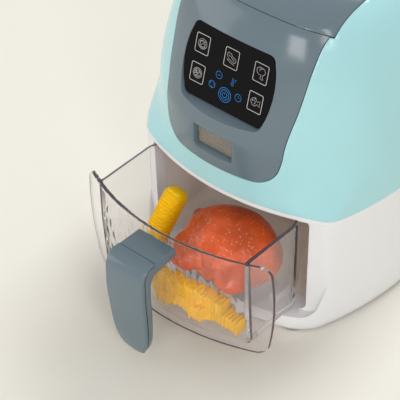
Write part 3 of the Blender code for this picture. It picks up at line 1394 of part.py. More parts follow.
def build_food(looks):
    """The play food in the drawer: a roast chicken, a crinkle-cut fry and a portion of fries."""
    x, y = CHICKEN_CENTRE
    radius_x, radius_y, radius_z = CHICKEN_RADII
    middle = food_floor() + radius_z
    drum_radii = [radius * share for radius, share in zip(CHICKEN_RADII, CHICKEN_DRUM_RADIUS_SHARES)]
    drum_x, drum_y, drum_z = CHICKEN_DRUM_SHARES
    chicken = add_object("roast_chicken", ellipsoid((x, y, middle), CHICKEN_RADII), looks["chicken"])
    for side in (-1.0, 1.0):
        lump = ellipsoid((x + side * drum_x * radius_x, y + drum_y * radius_y, middle + drum_z * radius_z),
                         drum_radii)
        combine(chicken, add_object(f"drumstick_{'left' if side < 0.0 else 'right'}", lump), "UNION")
    foot = Vector(CRINKLE_FOOT)
    top = Vector(CRINKLE_TOP)
    steps = 2 * round((top - foot).length / CRINKLE_PITCH)
    along = (top - foot).normalized()
    across = along.cross(Vector((0.0, 1.0, 0.0))).normalized()
    deep = along.cross(across)
    rings = []
    for i in range(steps + 1):
        half = CRINKLE_HALF_WIDTH - CRINKLE_DEPTH * (i % 2)
        centre = foot + (top - foot) * i / steps
        ring = []
        for u, v in rectangle(half, -half, half, half / 2.0):
            ring.append(centre + across * u + deep * v)
        rings.append(ring)
    add_object("crinkle_fry", loft(rings), looks["fry"])
    build_fries(looks)


def fry(name, x, height, turn, look=None):
    """One straight fry that lies behind the drawer front and follows its curve."""
    bm = bmesh.new()
    block(bm, (0.0, 0.0, 0.0), (FRY_LENGTH, FRY_WIDTH, FRY_WIDTH))
    y = PANEL_FRONT_Y + panel_setback(TRAY_BOTTOM) + panel_arc_y(x, PANEL_THICKNESS) + FRY_SETBACK
    return add_object(name, bm, look, (x, y, height), (0.0, 0.0, turn + math.asin(x / PANEL_RADIUS)))


def build_fries(looks):
    """A portion of fries moulded in one piece: a zigzag row with more lying across it."""
    low = food_floor() + FRY_WIDTH / 2.0
    portion = None
    for i in range(FRY_COUNT):
        turn = FRY_TURN if i % 2 else -FRY_TURN
        x = FRY_START_X + i * FRY_PITCH
        if portion is None:
            portion = fry("fries_portion", x, low, turn, looks["fry"])
        else:
            combine(portion, fry(f"fry_{i + 1}", x, low, turn), "UNION")
    high = low + FRY_WIDTH - FRY_BITE
    for i in range(UPPER_FRY_COUNT):
        x = FRY_START_X + (2 * i + 1) * FRY_PITCH
        combine(portion, fry(f"upper_fry_{i + 1}", x, high, FRY_TURN * (1 - 2 * i) / 2.0), "UNION")


def centre_footprint():
    """Move the assembly so that the middle of its footprint lies at the origin."""
    bpy.context.view_layer.update()
    graph = bpy.context.evaluated_depsgraph_get()
    places = []
    for item in bpy.data.objects:
        if item.type == "MESH" and not item.hide_render:
            shown = item.evaluated_get(graph)
            places += [shown.matrix_world @ Vector(corner) for corner in shown.bound_box]
    front = min(place.y for place in places)
    rear = max(place.y for place in places)
    bpy.data.objects["air_fryer"].location.y = -(front + rear) / 2.0


def main():
    """Build the toy air fryer."""
    clear_scene()
    frame = bpy.data.objects.new("air_fryer", None)
    bpy.context.scene.collection.objects.link(frame)
    looks = {
        "mint": material("mint", (0.42, 0.71, 0.68), 0.25),
        "white": material("white", (0.85, 0.84, 0.81), 0.35),
        "slate": material("slate", (0.16, 0.22, 0.25), 0.28),
        "clear": material("clear", (0.92, 0.92, 0.94), 0.08, 0.0, 0.9),
        "black": material("black", (0.010, 0.010, 0.012), 0.08),
        "rubber": material("rubber", (0.30, 0.31, 0.32), 0.80),
        "board": material("board", (0.03, 0.20, 0.09), 0.45),
        "blue": material("blue", (0.02, 0.20, 0.60), 0.30),
        "screen": material("screen", (0.19, 0.16, 0.13), 0.30),
        "steel": material("steel", (0.62, 0.62, 0.62), 0.30, 1.0),
        "cell": material("cell", (0.12, 0.12, 0.13), 0.40),
        "dark": material("dark", (0.04, 0.04, 0.04), 0.50),
        "chicken": material("chicken", (0.58, 0.13, 0.03), 0.50),
        "fry": material("fry", (0.80, 0.46, 0.01), 0.55),
    }
    build_lower_body(looks)
    build_bay(looks)
    build_upper_shell(looks)
    build_control_panel(looks)
    build_top_cover(looks)
    build_keys(looks)
    build_electronics(looks)
    build_base(looks)
    build_batteries(looks)
    build_speaker(looks)
    build_drawer(looks)
    build_handle(looks)
    build_screws(looks)
    build_food(looks)
    centre_footprint()


main()
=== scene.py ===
import math
from contextlib import contextmanager

import bmesh
import bpy
from bpy.props import FloatProperty, FloatVectorProperty, PointerProperty
from mathutils import Matrix, Vector, noise


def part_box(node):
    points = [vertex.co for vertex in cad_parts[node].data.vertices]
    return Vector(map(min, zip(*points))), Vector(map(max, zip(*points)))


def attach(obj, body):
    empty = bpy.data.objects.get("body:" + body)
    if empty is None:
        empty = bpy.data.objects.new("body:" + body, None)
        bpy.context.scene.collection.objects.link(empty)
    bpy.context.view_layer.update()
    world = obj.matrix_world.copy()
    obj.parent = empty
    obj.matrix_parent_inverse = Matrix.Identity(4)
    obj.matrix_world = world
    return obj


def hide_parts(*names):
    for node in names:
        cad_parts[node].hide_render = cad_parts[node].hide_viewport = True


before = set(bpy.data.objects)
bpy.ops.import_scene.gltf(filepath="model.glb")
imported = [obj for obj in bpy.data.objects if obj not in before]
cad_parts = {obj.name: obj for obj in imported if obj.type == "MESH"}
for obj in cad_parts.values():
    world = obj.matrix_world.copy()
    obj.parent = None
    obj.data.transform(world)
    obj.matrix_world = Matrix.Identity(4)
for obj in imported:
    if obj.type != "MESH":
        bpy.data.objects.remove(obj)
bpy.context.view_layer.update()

bl_info = {
    "name": "Toy Air Fryer",
    "version": (1, 0, 0),
    "blender": (4, 5, 0),
    "location": "View3D > Sidebar > Air Fryer",
    "description": "Dresses a toy air fryer with moulded shells, a clear drawer and play food",
    "category": "Add Mesh",
}

# The housing is drawn with its front near y = 0. The front left foot tells where the frame has it.
FOOT_DRAWN_Y = 0.0170
FRAME_Y = (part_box("foot_front_left")[0].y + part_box("foot_front_left")[1].y) / 2.0 - FOOT_DRAWN_Y

MERGE = 0.000001
REACH = 0.0200
GAP = 0.0003
BAND_GAP = 0.0004

# Housing
BODY_HEIGHT = 0.202
BODY_HALF_WIDTH = 0.0785
BODY_DEPTH = 0.1715
BODY_SIDE_CROWN = 0.190
WALL = 0.0024
WHITE_INSET = 0.0006
SEAM_HEIGHT = 0.0832
SEAM_DIP = 0.0033
SEAM_DIP_START = 0.058
SEAM_DIP_END = 0.073
SEAM_SHELF = 0.0060
SHELL_LOW = 0.0200
CLOSING_SHARES = (0.72, 0.40)
# Rows up the housing: a share of its height, then shares of its half width for the half width itself,
# the front's setback, the corner radius and the radius of the front's crown
BODY_ROW_SHARES = (
    (0.008, 0.955, 0.024, 0.34, 2.00),
    (0.020, 0.972, 0.006, 0.36, 2.00),
    (0.220, 0.986, 0.030, 0.33, 1.98),
    (0.395, 0.994, 0.062, 0.28, 1.94),
    (0.430, 0.996, 0.064, 0.30, 1.80),
    (0.475, 1.000, 0.056, 0.46, 1.35),
    (0.530, 0.998, 0.038, 0.60, 1.10),
    (0.595, 0.988, 0.033, 0.66, 1.04),
    (0.655, 0.972, 0.064, 0.68, 1.05),
    (0.755, 0.925, 0.143, 0.66, 1.08),
    (0.850, 0.856, 0.236, 0.62, 1.18),
    (0.915, 0.786, 0.322, 0.58, 1.30),
    (0.950, 0.722, 0.393, 0.54, 1.38),
    (0.972, 0.640, 0.485, 0.46, 1.40),
    (0.989, 0.500, 0.640, 0.36, 1.30),
    (0.998, 0.300, 0.850, 0.22, 1.00),
)
CROWN_STEPS = 13
CORNER_STEPS = 13
SIDE_STEPS = 7
BODY_LEVELS = 74

# Drawer opening and seat
OPENING_TOP = 0.0804
OPENING_BOTTOM = 0.0116
OPENING_HALF_WIDTH = 0.0573
OPENING_DRAFT = 0.0019
OPENING_RADIUS = 0.0050
SEAT_LEAN = 0.0024
SEAT_SIDE_GAP = 0.0008
FRAME_BACK_Y = 0.0290
RUNNER_X = 0.0360
RUNNER_WIDTH = 0.0050
RUNNER_FRONT_Y = 0.0145
RUNNER_ROOT = 0.0010
BAY_REAR_Y = 0.0845
BAY_WALL = 0.0020
BAY_FLANGE = 0.0062
BAY_FLANGE_THICKNESS = 0.0020

# Drawer
RIM_HEIGHT = 0.0795
TRAY_BOTTOM = 0.0170
TRAY_HALF_WIDTH = 0.0540
TRAY_DRAFT = 0.0010
TRAY_BEND_Y = 0.0130
TRAY_REAR_Y = 0.0380
TRAY_CHAMFER = 0.0165
TRAY_BEND_RADIUS = 0.0100
TRAY_REAR_RADIUS = 0.0040
TRAY_WALL = 0.0020
TRAY_FLOOR = 0.0022
TRAY_EDGE_RADIUS = 0.0030
PANEL_BOTTOM = 0.0120
PANEL_FRONT_Y = -0.0420
PANEL_THICKNESS = 0.0024
PANEL_RADIUS = 0.1400
PANEL_PROFILE_RADIUS = 0.4550
PANEL_HALF_WIDTH = 0.0672
PANEL_WIDEST_HEIGHT = 0.0560
PANEL_SIDE_RADIUS = 0.1760
PANEL_CORNER_RADIUS = 0.0060
CLOSING_TRAVEL = 0.0430
RIPPLE_FADE = 0.0030
RIPPLE_SIDE_FADE = 0.0040
PANEL_LEVELS = 44
PANEL_COLUMNS = 210
TRAY_COLUMNS = 44
ROOM_OVERLAP = 0.0002
EDGE_MARGIN = 0.00055
JUNCTION_WIDTH = 0.0009

# Grey band
BAND_BOTTOM = 0.0983
BAND_FLAT_HALF_WIDTH = 0.0240
BAND_CORNER_RADIUS = 0.0160
# Half widths of the band at shares of the housing's height
BAND_SHARES = ((0.578, 0.0408), (0.640, 0.0420), (0.728, 0.0445), (0.850, 0.0464), (0.912, 0.0472))
COVER_HALF_WIDTH = 0.0496
COVER_START_SHARE = 0.944
COVER_REAR_Y = 0.1260
COVER_REAR_RADIUS = 0.0180
COVER_SEAM_Y = 0.0306
COVER_SEAM_Z = 0.1918
COVER_SEAM_SLOPE = -0.44
WEDGE_HALF_WIDTH = 0.16

# Lens plane and its outline
LENS_Y = 0.0170
LENS_Z = 0.1516
LENS_LEAN = math.radians(15.0)
LENS_TOP = 0.0233
LENS_BOTTOM = -0.0202
LENS_HALF_WIDTH = 0.0309
LENS_SIDE_RADIUS = 0.0560
LENS_WIDEST = 0.0020
LENS_CORNER_RADIUS = 0.0040
LENS_THICKNESS = 0.0012
LENS_EDGE = 0.0002
POCKET_FLOOR = 0.0020
POCKET_WALL = 0.0022
POCKET_RISE = 0.0100
POCKET_FLARE = 0.0020
POCKET_LIP_FLARE = 0.0040
KEY_X = 0.0204
KEY_UPPER = 0.0110
KEY_LOWER = -0.0064
KEY_WIDTH = 0.0102
KEY_HEIGHT = 0.0119
KEY_CORNER = 0.0014
POWER_KEY_UP = -0.0110
POWER_KEY_RADIUS = 0.0044
KEY_SKIRT = 0.0012
KEY_SKIRT_RIM = 0.0008
KEY_HOLE_DEPTH = 0.0100

# Display
DISPLAY_HALF_WIDTH = 0.0126
DISPLAY_BOTTOM = 0.1072
DISPLAY_TOP = 0.1205
DISPLAY_FRONT_Y = 0.0064
DISPLAY_WINDOW = 0.0010
DISPLAY_SCREEN = 0.0014
DISPLAY_CORNER = 0.0008
DISPLAY_WALL = 0.0020
DISPLAY_RISE = 0.0080
DISPLAY_FLARE = 0.0030
DISPLAY_LIP_ZONE = 0.0050
DISPLAY_EDGE = 0.0003

# Handle
HANDLE_BOTTOM = 0.0022
HANDLE_TOP = 0.0757
HANDLE_REACH = 0.0284
HANDLE_HALF_WIDTH = 0.0137
HANDLE_SEAM = 0.0009
HANDLE_REAR_EDGE = 0.0022
HANDLE_FRONT_EDGE = 0.0030
HANDLE_CROWN = 0.0008
HANDLE_SHOULDER = 0.0002
HANDLE_LIP = 0.0004
STUB_SHOULDER = 0.0018
# Stations from the drawer front to the lower end: shares of the handle's reach and length at the seam,
# at the inner face and, past the stub, at the front face, then a share of its width
STUB_SHARES = ((0.000, 1.000, 0.000, 0.909), (0.300, 1.000, 0.300, 0.903), (0.550, 1.000, 0.490, 0.893))
HANDLE_SHARES = (
    (0.565, 0.990, 0.520, 0.889, 0.567, 1.000, 1.00),
    (0.700, 0.986, 0.585, 0.877, 0.720, 0.999, 1.00),
    (0.800, 0.960, 0.640, 0.855, 0.856, 0.981, 1.00),
    (0.864, 0.918, 0.672, 0.830, 0.950, 0.938, 1.00),
    (0.886, 0.865, 0.682, 0.800, 0.990, 0.876, 1.00),
    (0.884, 0.733, 0.676, 0.700, 0.990, 0.740, 1.00),
    (0.832, 0.493, 0.632, 0.480, 0.928, 0.495, 0.97),
    (0.768, 0.270, 0.600, 0.272, 0.856, 0.262, 0.88),
    (0.712, 0.140, 0.572, 0.152, 0.780, 0.122, 0.68),
    (0.668, 0.080, 0.550, 0.098, 0.716, 0.060, 0.46),
    (0.640, 0.058, 0.545, 0.074, 0.664, 0.040, 0.22),
)

# Play food
FOOD_FLOOR = TRAY_BOTTOM + TRAY_FLOOR + GAP
CHICKEN_CENTRE = (0.0148, 0.0035)
CHICKEN_RADII = (0.0308, 0.0255, 0.0258)
NECK_PLACE = (-0.0225, 0.0040, 0.0075)
NECK_RADII = (0.0085, 0.0060, 0.0055)
LEG_X = 0.0150
LEG_SHARES = (-0.42, 0.08)
LEG_RADII = (0.0138, 0.0195, 0.0110)
SKIN_GRAIN = 0.0008
# Noise on the skin: how often it changes in a metre and how deep it goes
SKIN_NOISE = ((520.0, 0.00018), (210.0, 0.00030), (60.0, 0.0008))
SKIN_SINK = 0.0004
CRINKLE_TOP = (-0.0215, 0.0000, 0.0720)
CRINKLE_FOOT = (-0.0312, -0.0244, 0.0228)
CRINKLE_HALF_WIDTH = 0.0055
CRINKLE_WAVE = 0.0010
CRINKLE_END = 0.0045
FRY_WIDTH = 0.0094
FRY_LENGTH = 0.0240
FRY_START_X = -0.0100
FRY_PITCH = 0.0110
FRY_COUNT = 5
FRY_TURN = math.radians(17.0)
FRY_SETBACK = 0.0084
FRY_BITE = 0.0008
FRY_RIDGE = 0.0026
FRY_WAVE = 0.0008
FRY_END = 0.0012

# Lamps: name, setting of its power, share of that, place, and the lit face's width and height
LAMPS = (
    ("rear_lamp", "key", 1.0, (-0.05, 0.98, 1.31), 0.50, 0.40),
    ("front_lamp", "fill", 1.0, (0.40, -1.38, 0.62), 0.50, 0.55),
    ("side_lamp", "fill", 0.7, (1.02, -0.76, 0.92), 0.35, 0.60),
    ("left_lamp", "fill", 0.7, (-1.10, -0.85, 0.50), 0.90, 0.90),
)
VIEW_TARGET = (-0.00351, -0.05242, 0.07550)
SENSOR_WIDTH = 36.0
FLOOR_HALF_WIDTH = 6.0

# Feet: shares of the radius and of the height, from the hollow underneath to the top
FOOT_PROFILE = ((0.62, 0.35), (0.66, 0.0), (0.90, 0.0), (1.0, 0.3), (1.0, 1.0))


def colour_setting(name, description, default):
    """A colour that the panel offers."""
    return FloatVectorProperty(name=name, description=description, default=default, subtype="COLOR",
                               min=0.0, max=1.0)


def length_setting(name, description, default, low, high):
    """A length in metres that the panel offers."""
    return FloatProperty(name=name, description=description, default=default, min=low, max=high,
                         unit="LENGTH", precision=5)


def angle_setting(name, description, degrees):
    """An angle that the panel offers."""
    return FloatProperty(name=name, description=description, default=math.radians(degrees), subtype="ANGLE")


class HousingSettings(bpy.types.PropertyGroup):
    lip: length_setting("Lip", "Rounding of the shells' edges", 0.0005, 0.0001, 0.002)
    mint: colour_setting("Mint", "Colour of the upper shell", (0.395, 0.695, 0.725))
    white: colour_setting("White", "Colour of the lower body", (0.800, 0.800, 0.805))
    slate: colour_setting("Slate", "Colour of the grey band and handle", (0.132, 0.180, 0.208))
    # The bay is white plastic; this warm tint is painted bounce light from the food.
    bay: colour_setting("Bay", "Colour of the drawer bay", (0.860, 0.780, 0.700))


class LensSettings(bpy.types.PropertyGroup):
    stroke: length_setting("Stroke", "Width of the printed lines", 0.00045, 0.0001, 0.002)
    black: colour_setting("Black", "Colour of the lens", (0.003, 0.003, 0.004))
    print_grey: colour_setting("Print", "Colour of the food symbols", (0.42, 0.40, 0.40))
    # This blue also colours the symbols' painted glow.
    print_blue_and_painted_glow: colour_setting("Blue", "Colour of the round symbols", (0.004, 0.160, 0.460))
    screen: colour_setting("Screen", "Colour of the display", (0.138, 0.114, 0.080))


class DrawerSettings(bpy.types.PropertyGroup):
    ripple: length_setting("Ripple", "Depth of the ripples in the drawer front", 0.00045, 0.0, 0.001)
    pitch: length_setting("Pitch", "Distance between ripples", 0.0030, 0.001, 0.02)
    clear: colour_setting("Clear", "Tint of the drawer", (0.945, 0.930, 0.935))
    edge: colour_setting("Edge", "Tint of the drawer's edges", (0.105, 0.074, 0.095))


class FoodSettings(bpy.types.PropertyGroup):
    ridge: length_setting("Ridge pitch", "Distance between the fry's ridges", 0.0021, 0.001, 0.01)
    chicken: colour_setting("Chicken", "Colour of the chicken", (0.555, 0.076, 0.012))
    crinkle: colour_setting("Crinkle fry", "Colour of the crinkle-cut fry", (0.900, 0.520, 0.001))
    fries: colour_setting("Fries", "Colour of the portion of fries", (0.880, 0.490, 0.008))


class StageSettings(bpy.types.PropertyGroup):
    azimuth: angle_setting("Azimuth", "Where the camera stands round the object", 41.148)
    elevation: angle_setting("Elevation", "Height of the camera above the horizon", 40.197)
    roll: angle_setting("Roll", "Turn of the camera about its view", -0.309)
    distance: FloatProperty(name="Distance", description="Distance from the camera to its target",
                            unit="LENGTH", default=1.22185)
    lens: FloatProperty(name="Lens", description="Focal length in millimetres", default=198.0)
    floor: colour_setting("Floor", "Colour of the floor", (0.815, 0.785, 0.705))
    key: FloatProperty(name="Key", description="Power of the rear lamp in watts", default=10.0)
    fill: FloatProperty(name="Fill", description="Power of the front lamp in watts", default=5.0)
    ambient: FloatProperty(name="Ambient", description="Strength of the world", default=0.60)


SETTINGS = {
    "fryer_housing": HousingSettings,
    "fryer_lens": LensSettings,
    "fryer_drawer": DrawerSettings,
    "fryer_food": FoodSettings,
    "fryer_stage": StageSettings,
}


def track(places, values):
    """A smooth curve through values at places that never swings past them."""
    steps = [b - a for a, b in zip(places, places[1:])]
    rates = [(b - a) / step for a, b, step in zip(values, values[1:], steps)]
    slopes = [rates[0]]
    for i in range(1, len(rates)):
        if rates[i - 1] * rates[i] <= 0.0:
            slopes.append(0.0)
            continue
        near = 2.0 * steps[i] + steps[i - 1]
        far = steps[i] + 2.0 * steps[i - 1]
        slopes.append((near + far) / (near / rates[i - 1] + far / rates[i]))
    slopes.append(rates[-1])

    def at(place):
        place = min(max(place, places[0]), places[-1])
        k = 0
        while k < len(steps) - 1 and place > places[k + 1]:
            k += 1
        t = (place - places[k]) / steps[k]
        blend_in = t * t * (3.0 - 2.0 * t)
        return (values[k] * (1.0 - blend_in) + values[k + 1] * blend_in
                + steps[k] * (slopes[k] * t * (1.0 - t) ** 2 - slopes[k + 1] * t * t * (1.0 - t)))

    return at


def loft(rings):
    """A closed solid through rings of equally many points, shaped from a grid."""
    around = len(rings[0])
    levels = len(rings) - 1
    bm = bmesh.new()
    bmesh.ops.create_grid(bm, x_segments=around, y_segments=levels, size=0.5)
    for vert in bm.verts:
        i = round((vert.co.x + 0.5) * around) % around
        k = round((vert.co.y + 0.5) * levels)
        vert.co = rings[k][i]
    bmesh.ops.remove_doubles(bm, verts=bm.verts, dist=MERGE)
    bmesh.ops.holes_fill(bm, edges=bm.edges[:], sides=0)
    bmesh.ops.recalc_face_normals(bm, faces=bm.faces)
    return bm


def prism(outline, axis, low, high):
    """A solid of a flat outline between two places on an axis."""
    order = {
        "X": lambda u, v, w: (w, u, v),
        "Y": lambda u, v, w: (u, w, v),
        "Z": lambda u, v, w: (u, v, w),
    }[axis]
    return loft([[order(u, v, w) for u, v in outline] for w in (low, high)])


def block(centre, size):
    """A box, as a bmesh."""
    bm = bmesh.new()
    bmesh.ops.create_cube(bm, size=1.0, matrix=Matrix.Translation(centre) @ Matrix.Diagonal((*size, 1.0)))
    return bm


def new_object(name, bm, place=None):
    """An object at the origin with the bmesh's shape, moved into the frame."""
    if place is not None:
        bmesh.ops.transform(bm, matrix=place, verts=bm.verts)
    bmesh.ops.translate(bm, verts=bm.verts, vec=(0.0, FRAME_Y, 0.0))
    mesh = bpy.data.meshes.new(name)
    bm.to_mesh(mesh)
    bm.free()
    made = bpy.data.objects.new(name, mesh)
    bpy.context.scene.collection.objects.link(made)
    return made


@contextmanager
def shape_of(item):
    """An object's mesh, open for shaping and written back at the end."""
    bm = bmesh.new()
    bm.from_mesh(item.data)
    bm.normal_update()
    yield bm
    bm.to_mesh(item.data)
    bm.free()


def apply_modifiers(item):
    """Write an object's modifiers into its mesh."""
    graph = bpy.context.evaluated_depsgraph_get()
    done = bpy.data.meshes.new_from_object(item.evaluated_get(graph))
    item.modifiers.clear()
    item.data = done


def carve(item, *tools, operation="DIFFERENCE"):
    """Cut, join or trim an object with tools, which are used up."""
    for tool in tools:
        step = item.modifiers.new(tool.name, "BOOLEAN")
        step.operation = operation
        step.solver = "MANIFOLD"
        step.object = tool
    apply_modifiers(item)
    for tool in tools:
        bpy.data.objects.remove(tool)
    return item


def soften(item, width, segments=2, angle=40.0, where=None):
    """Round the sharp edges of an object."""
    limit = math.radians(angle)
    with shape_of(item) as bm:
        bmesh.ops.remove_doubles(bm, verts=bm.verts, dist=width / 3.0)
        sharp = [edge for edge in bm.edges if len(edge.link_faces) == 2
                 and edge.calc_face_angle(0.0) > limit
                 and (where is None or where((edge.verts[0].co + edge.verts[1].co) / 2.0))]
        bmesh.ops.bevel(bm, geom=sharp, offset=width, offset_type="OFFSET", segments=segments, profile=0.5,
                        affect="EDGES", clamp_overlap=True, material=-1, miter_outer="ARC")


def dress(item, look, body, slot, *nodes, sharp=35.0):
    """Give a finished piece its material, shading and place in the assembly."""
    item.data.materials.clear()
    for each in look if isinstance(look, (list, tuple)) else [look]:
        item.data.materials.append(each)
    item.data.shade_smooth()
    item.data.set_sharp_from_angle(angle=math.radians(sharp))
    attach(item, body)
    if nodes:
        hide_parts(*nodes)


def fillet(corners, points):
    """Round the corners (x, y, radius) of a polygon with arcs."""
    outline = []
    count = len(corners)
    for i, (x, y, radius) in enumerate(corners):
        here = Vector((x, y))
        if radius <= 0.0:
            outline.append((x, y))
            continue
        before = (Vector(corners[i - 1][:2]) - here).normalized()
        after = (Vector(corners[(i + 1) % count][:2]) - here).normalized()
        half = before.angle(after) / 2.0
        reach = radius / math.tan(half)
        centre = here + (before + after).normalized() * radius / math.sin(half)
        start = here + before * reach - centre
        end = here + after * reach - centre
        turn = start.angle_signed(end)
        for k in range(points + 1):
            arm = start.copy()
            arm.rotate(Matrix.Rotation(-turn * k / points, 2))
            outline.append(tuple(centre + arm))
    return outline


def rectangle(half_width, low, high, radius, points=6):
    """A rounded rectangle."""
    return fillet([(-half_width, low, radius), (half_width, low, radius), (half_width, high, radius),
                   (-half_width, high, radius)], points)


def arc(centre, radius, start, end, steps):
    """Points along an arc."""
    return [(centre[0] + radius * math.cos(start + (end - start) * i / steps),
             centre[1] + radius * math.sin(start + (end - start) * i / steps)) for i in range(steps + 1)]


def circle(radius, sides=40, centre=(0.0, 0.0)):
    """A round outline."""
    return arc(centre, radius, 0.0, math.tau, sides)[:-1]


def rounding(steps):
    """Points round an edge of radius 1: how far each lies below the edge's top and inside its face."""
    turns = [math.pi / 2.0 * k / steps for k in range(steps + 1)]
    return [(1.0 - math.sin(turn), 1.0 - math.cos(turn)) for turn in turns]


def closely(rows, places, steps):
    """Evenly spaced rows between the given ones, which stand at places along a path."""
    tracks = [track(places, column) for column in zip(*rows)]
    return [[at(places[-1] * k / steps) for at in tracks] for k in range(steps + 1)]


def mirrored(half):
    """Close a half outline with its mirror image."""
    return half + [(-x, y) for x, y in reversed(half) if x > 0.0]


def housing_ring(row):
    """One level of the housing: a rounded square with crowned sides."""
    height, width, setback, corner, crown = row
    half_width = width * BODY_HALF_WIDTH
    corner_radius = corner * BODY_HALF_WIDTH
    crown_radius = crown * BODY_HALF_WIDTH
    front_centre = Vector((0.0, setback * BODY_HALF_WIDTH + crown_radius))
    side_centre = Vector((half_width - BODY_SIDE_CROWN, BODY_DEPTH / 2.0))
    front_reach = crown_radius - corner_radius
    side_reach = BODY_SIDE_CROWN - corner_radius
    line = side_centre - front_centre
    along = (front_reach ** 2 - side_reach ** 2 + line.length_squared) / (2.0 * line.length)
    aside = math.sqrt(max(front_reach ** 2 - along ** 2, 0.0))
    unit = line.normalized()
    corner_centre = front_centre + unit * along + Vector((-unit.y, unit.x)) * aside
    to_front = corner_centre - front_centre
    to_side = corner_centre - side_centre
    front_angle = math.atan2(to_front.y, to_front.x)
    side_angle = math.atan2(to_side.y, to_side.x)
    quarter = arc(front_centre, crown_radius, -math.pi / 2.0, front_angle, CROWN_STEPS)
    quarter += arc(corner_centre, corner_radius, front_angle, side_angle, CORNER_STEPS)[1:]
    quarter += arc(side_centre, BODY_SIDE_CROWN, side_angle, 0.0, SIDE_STEPS)[1:]
    right = quarter + [(x, BODY_DEPTH - y) for x, y in reversed(quarter[:-1])]
    ring = right + [(-x, y) for x, y in reversed(right[1:-1])]
    return [Vector((x, y, height * BODY_HEIGHT)) for x, y in ring]


def housing_levels():
    """Closely spaced rings of the housing's outer form, with each point's outward normal."""
    places = [0.0]
    for low, high in zip(BODY_ROW_SHARES, BODY_ROW_SHARES[1:]):
        places.append(places[-1] + math.hypot((high[0] - low[0]) * BODY_HEIGHT,
                                              (high[1] - low[1]) * BODY_HALF_WIDTH))
    rings = [housing_ring(row) for row in closely(BODY_ROW_SHARES, places, BODY_LEVELS)]
    normals = []
    for k, ring in enumerate(rings):
        below = rings[max(k - 1, 0)]
        above = rings[min(k + 1, BODY_LEVELS)]
        normals.append([(ring[(i + 1) % len(ring)] - ring[i - 1]).cross(above[i] - below[i]).normalized()
                        for i in range(len(ring))])
    return rings, normals


RINGS, NORMALS = housing_levels()


def skin_at(i, height, inset=0.0):
    """A point of the housing's form in column i at a height, moved inwards."""
    last = len(RINGS) - 1
    k = 0
    while k < last - 1 and RINGS[k + 1][i].z < height:
        k += 1
    low, high = RINGS[k][i], RINGS[k + 1][i]
    share = min(max((height - low.z) / (high.z - low.z), 0.0), 1.0)
    normal = NORMALS[k][i].lerp(NORMALS[k + 1][i], share).normalized()
    point = low.lerp(high, share) - normal * inset
    return Vector((point.x, point.y, height))


def seam_height(point):
    """The height of the seam between the white body and the mint shell above a point."""
    if point.y > BODY_DEPTH / 2.0:
        return SEAM_HEIGHT - SEAM_DIP
    share = min(max((abs(point.x) - SEAM_DIP_START) / (SEAM_DIP_END - SEAM_DIP_START), 0.0), 1.0)
    return SEAM_HEIGHT - SEAM_DIP * share * share * (3.0 - 2.0 * share)


def seam_heights():
    """The seam's height in each column of the housing."""
    level = min(range(len(RINGS)), key=lambda k: abs(RINGS[k][0].z - SEAM_HEIGHT))
    return [seam_height(point) for point in RINGS[level]]


SEAM = seam_heights()
COLUMNS = range(len(SEAM))


def skin(inset, low=None):
    """The housing's whole form moved inwards, from a lower limit up."""
    rings = []
    for ring, normals in zip(RINGS, NORMALS):
        rings.append([point - normal * inset for point, normal in zip(ring, normals)])
    if low is not None:
        rings[0] = [Vector((point.x, point.y, low)) for point in rings[0]]
    return loft(rings)


def seam_ring(rise, inset):
    """A ring of the housing's form along the seam, moved up and inwards."""
    return [skin_at(i, SEAM[i] + rise, inset) for i in COLUMNS]


def closing_rings(edge, height, shares):
    """Level rings inside an edge, that close a form towards the housing's middle."""
    middle = Vector((0.0, BODY_DEPTH / 2.0, height))
    return [[middle.lerp(Vector((p.x, p.y, height)), share) for p in edge] for share in shares]


def lower_form(lip):
    """The white body's outer form, up to the seam, with a rounded upper edge."""
    bottom = BODY_ROW_SHARES[0][0] * BODY_HEIGHT
    steps = 30
    rings = [[skin_at(i, bottom + (SEAM[i] - GAP - lip - bottom) * k / steps, WHITE_INSET) for i in COLUMNS]
             for k in range(steps + 1)]
    closing = closing_rings(rings[-1], SEAM_HEIGHT - SEAM_DIP - GAP, CLOSING_SHARES)
    rings += [seam_ring(-GAP - lip * below, WHITE_INSET + lip * inside) for below, inside in rounding(4)[1:]]
    rings.append(seam_ring(-GAP, SEAM_SHELF))
    return loft(rings + closing)


def upper_form(lip):
    """The mint shell's outer form, from the seam up, with a rounded lower edge."""
    edge = seam_ring(0.0, SEAM_SHELF)
    rings = [*closing_rings(edge, SEAM_HEIGHT - SEAM_DIP, reversed(CLOSING_SHARES)), edge]
    rings += [seam_ring(lip * above, lip * inside) for above, inside in reversed(rounding(4))]
    start = next(k for k, ring in enumerate(RINGS) if ring[0].z > SEAM_HEIGHT + lip * 2.0)
    blend_levels = 6
    top = RINGS[start + blend_levels][0].z
    for k in range(1, blend_levels):
        share = k / blend_levels
        rings.append([skin_at(i, (SEAM[i] + lip) * (1.0 - share) + top * share) for i in COLUMNS])
    return loft(rings + RINGS[start + blend_levels:])


def opening_outline(grow=0.0):
    """The drawer opening, seen from the front."""
    low = OPENING_BOTTOM - grow
    high = OPENING_TOP + grow
    wide = OPENING_HALF_WIDTH + grow
    radius = OPENING_RADIUS + grow
    narrow = wide - OPENING_DRAFT
    return fillet([(-narrow, low, radius), (narrow, low, radius), (wide, high, radius),
                   (-wide, high, radius)], 8)


def panel_setback(height):
    """How far the drawer front curves back below its rim."""
    return PANEL_PROFILE_RADIUS - math.sqrt(PANEL_PROFILE_RADIUS ** 2 - (RIM_HEIGHT - height) ** 2)


def panel_arc_y(x, inset):
    """How far the drawer front curves back away from its middle, at a depth inset."""
    return PANEL_RADIUS - math.sqrt((PANEL_RADIUS - inset) ** 2 - x ** 2)


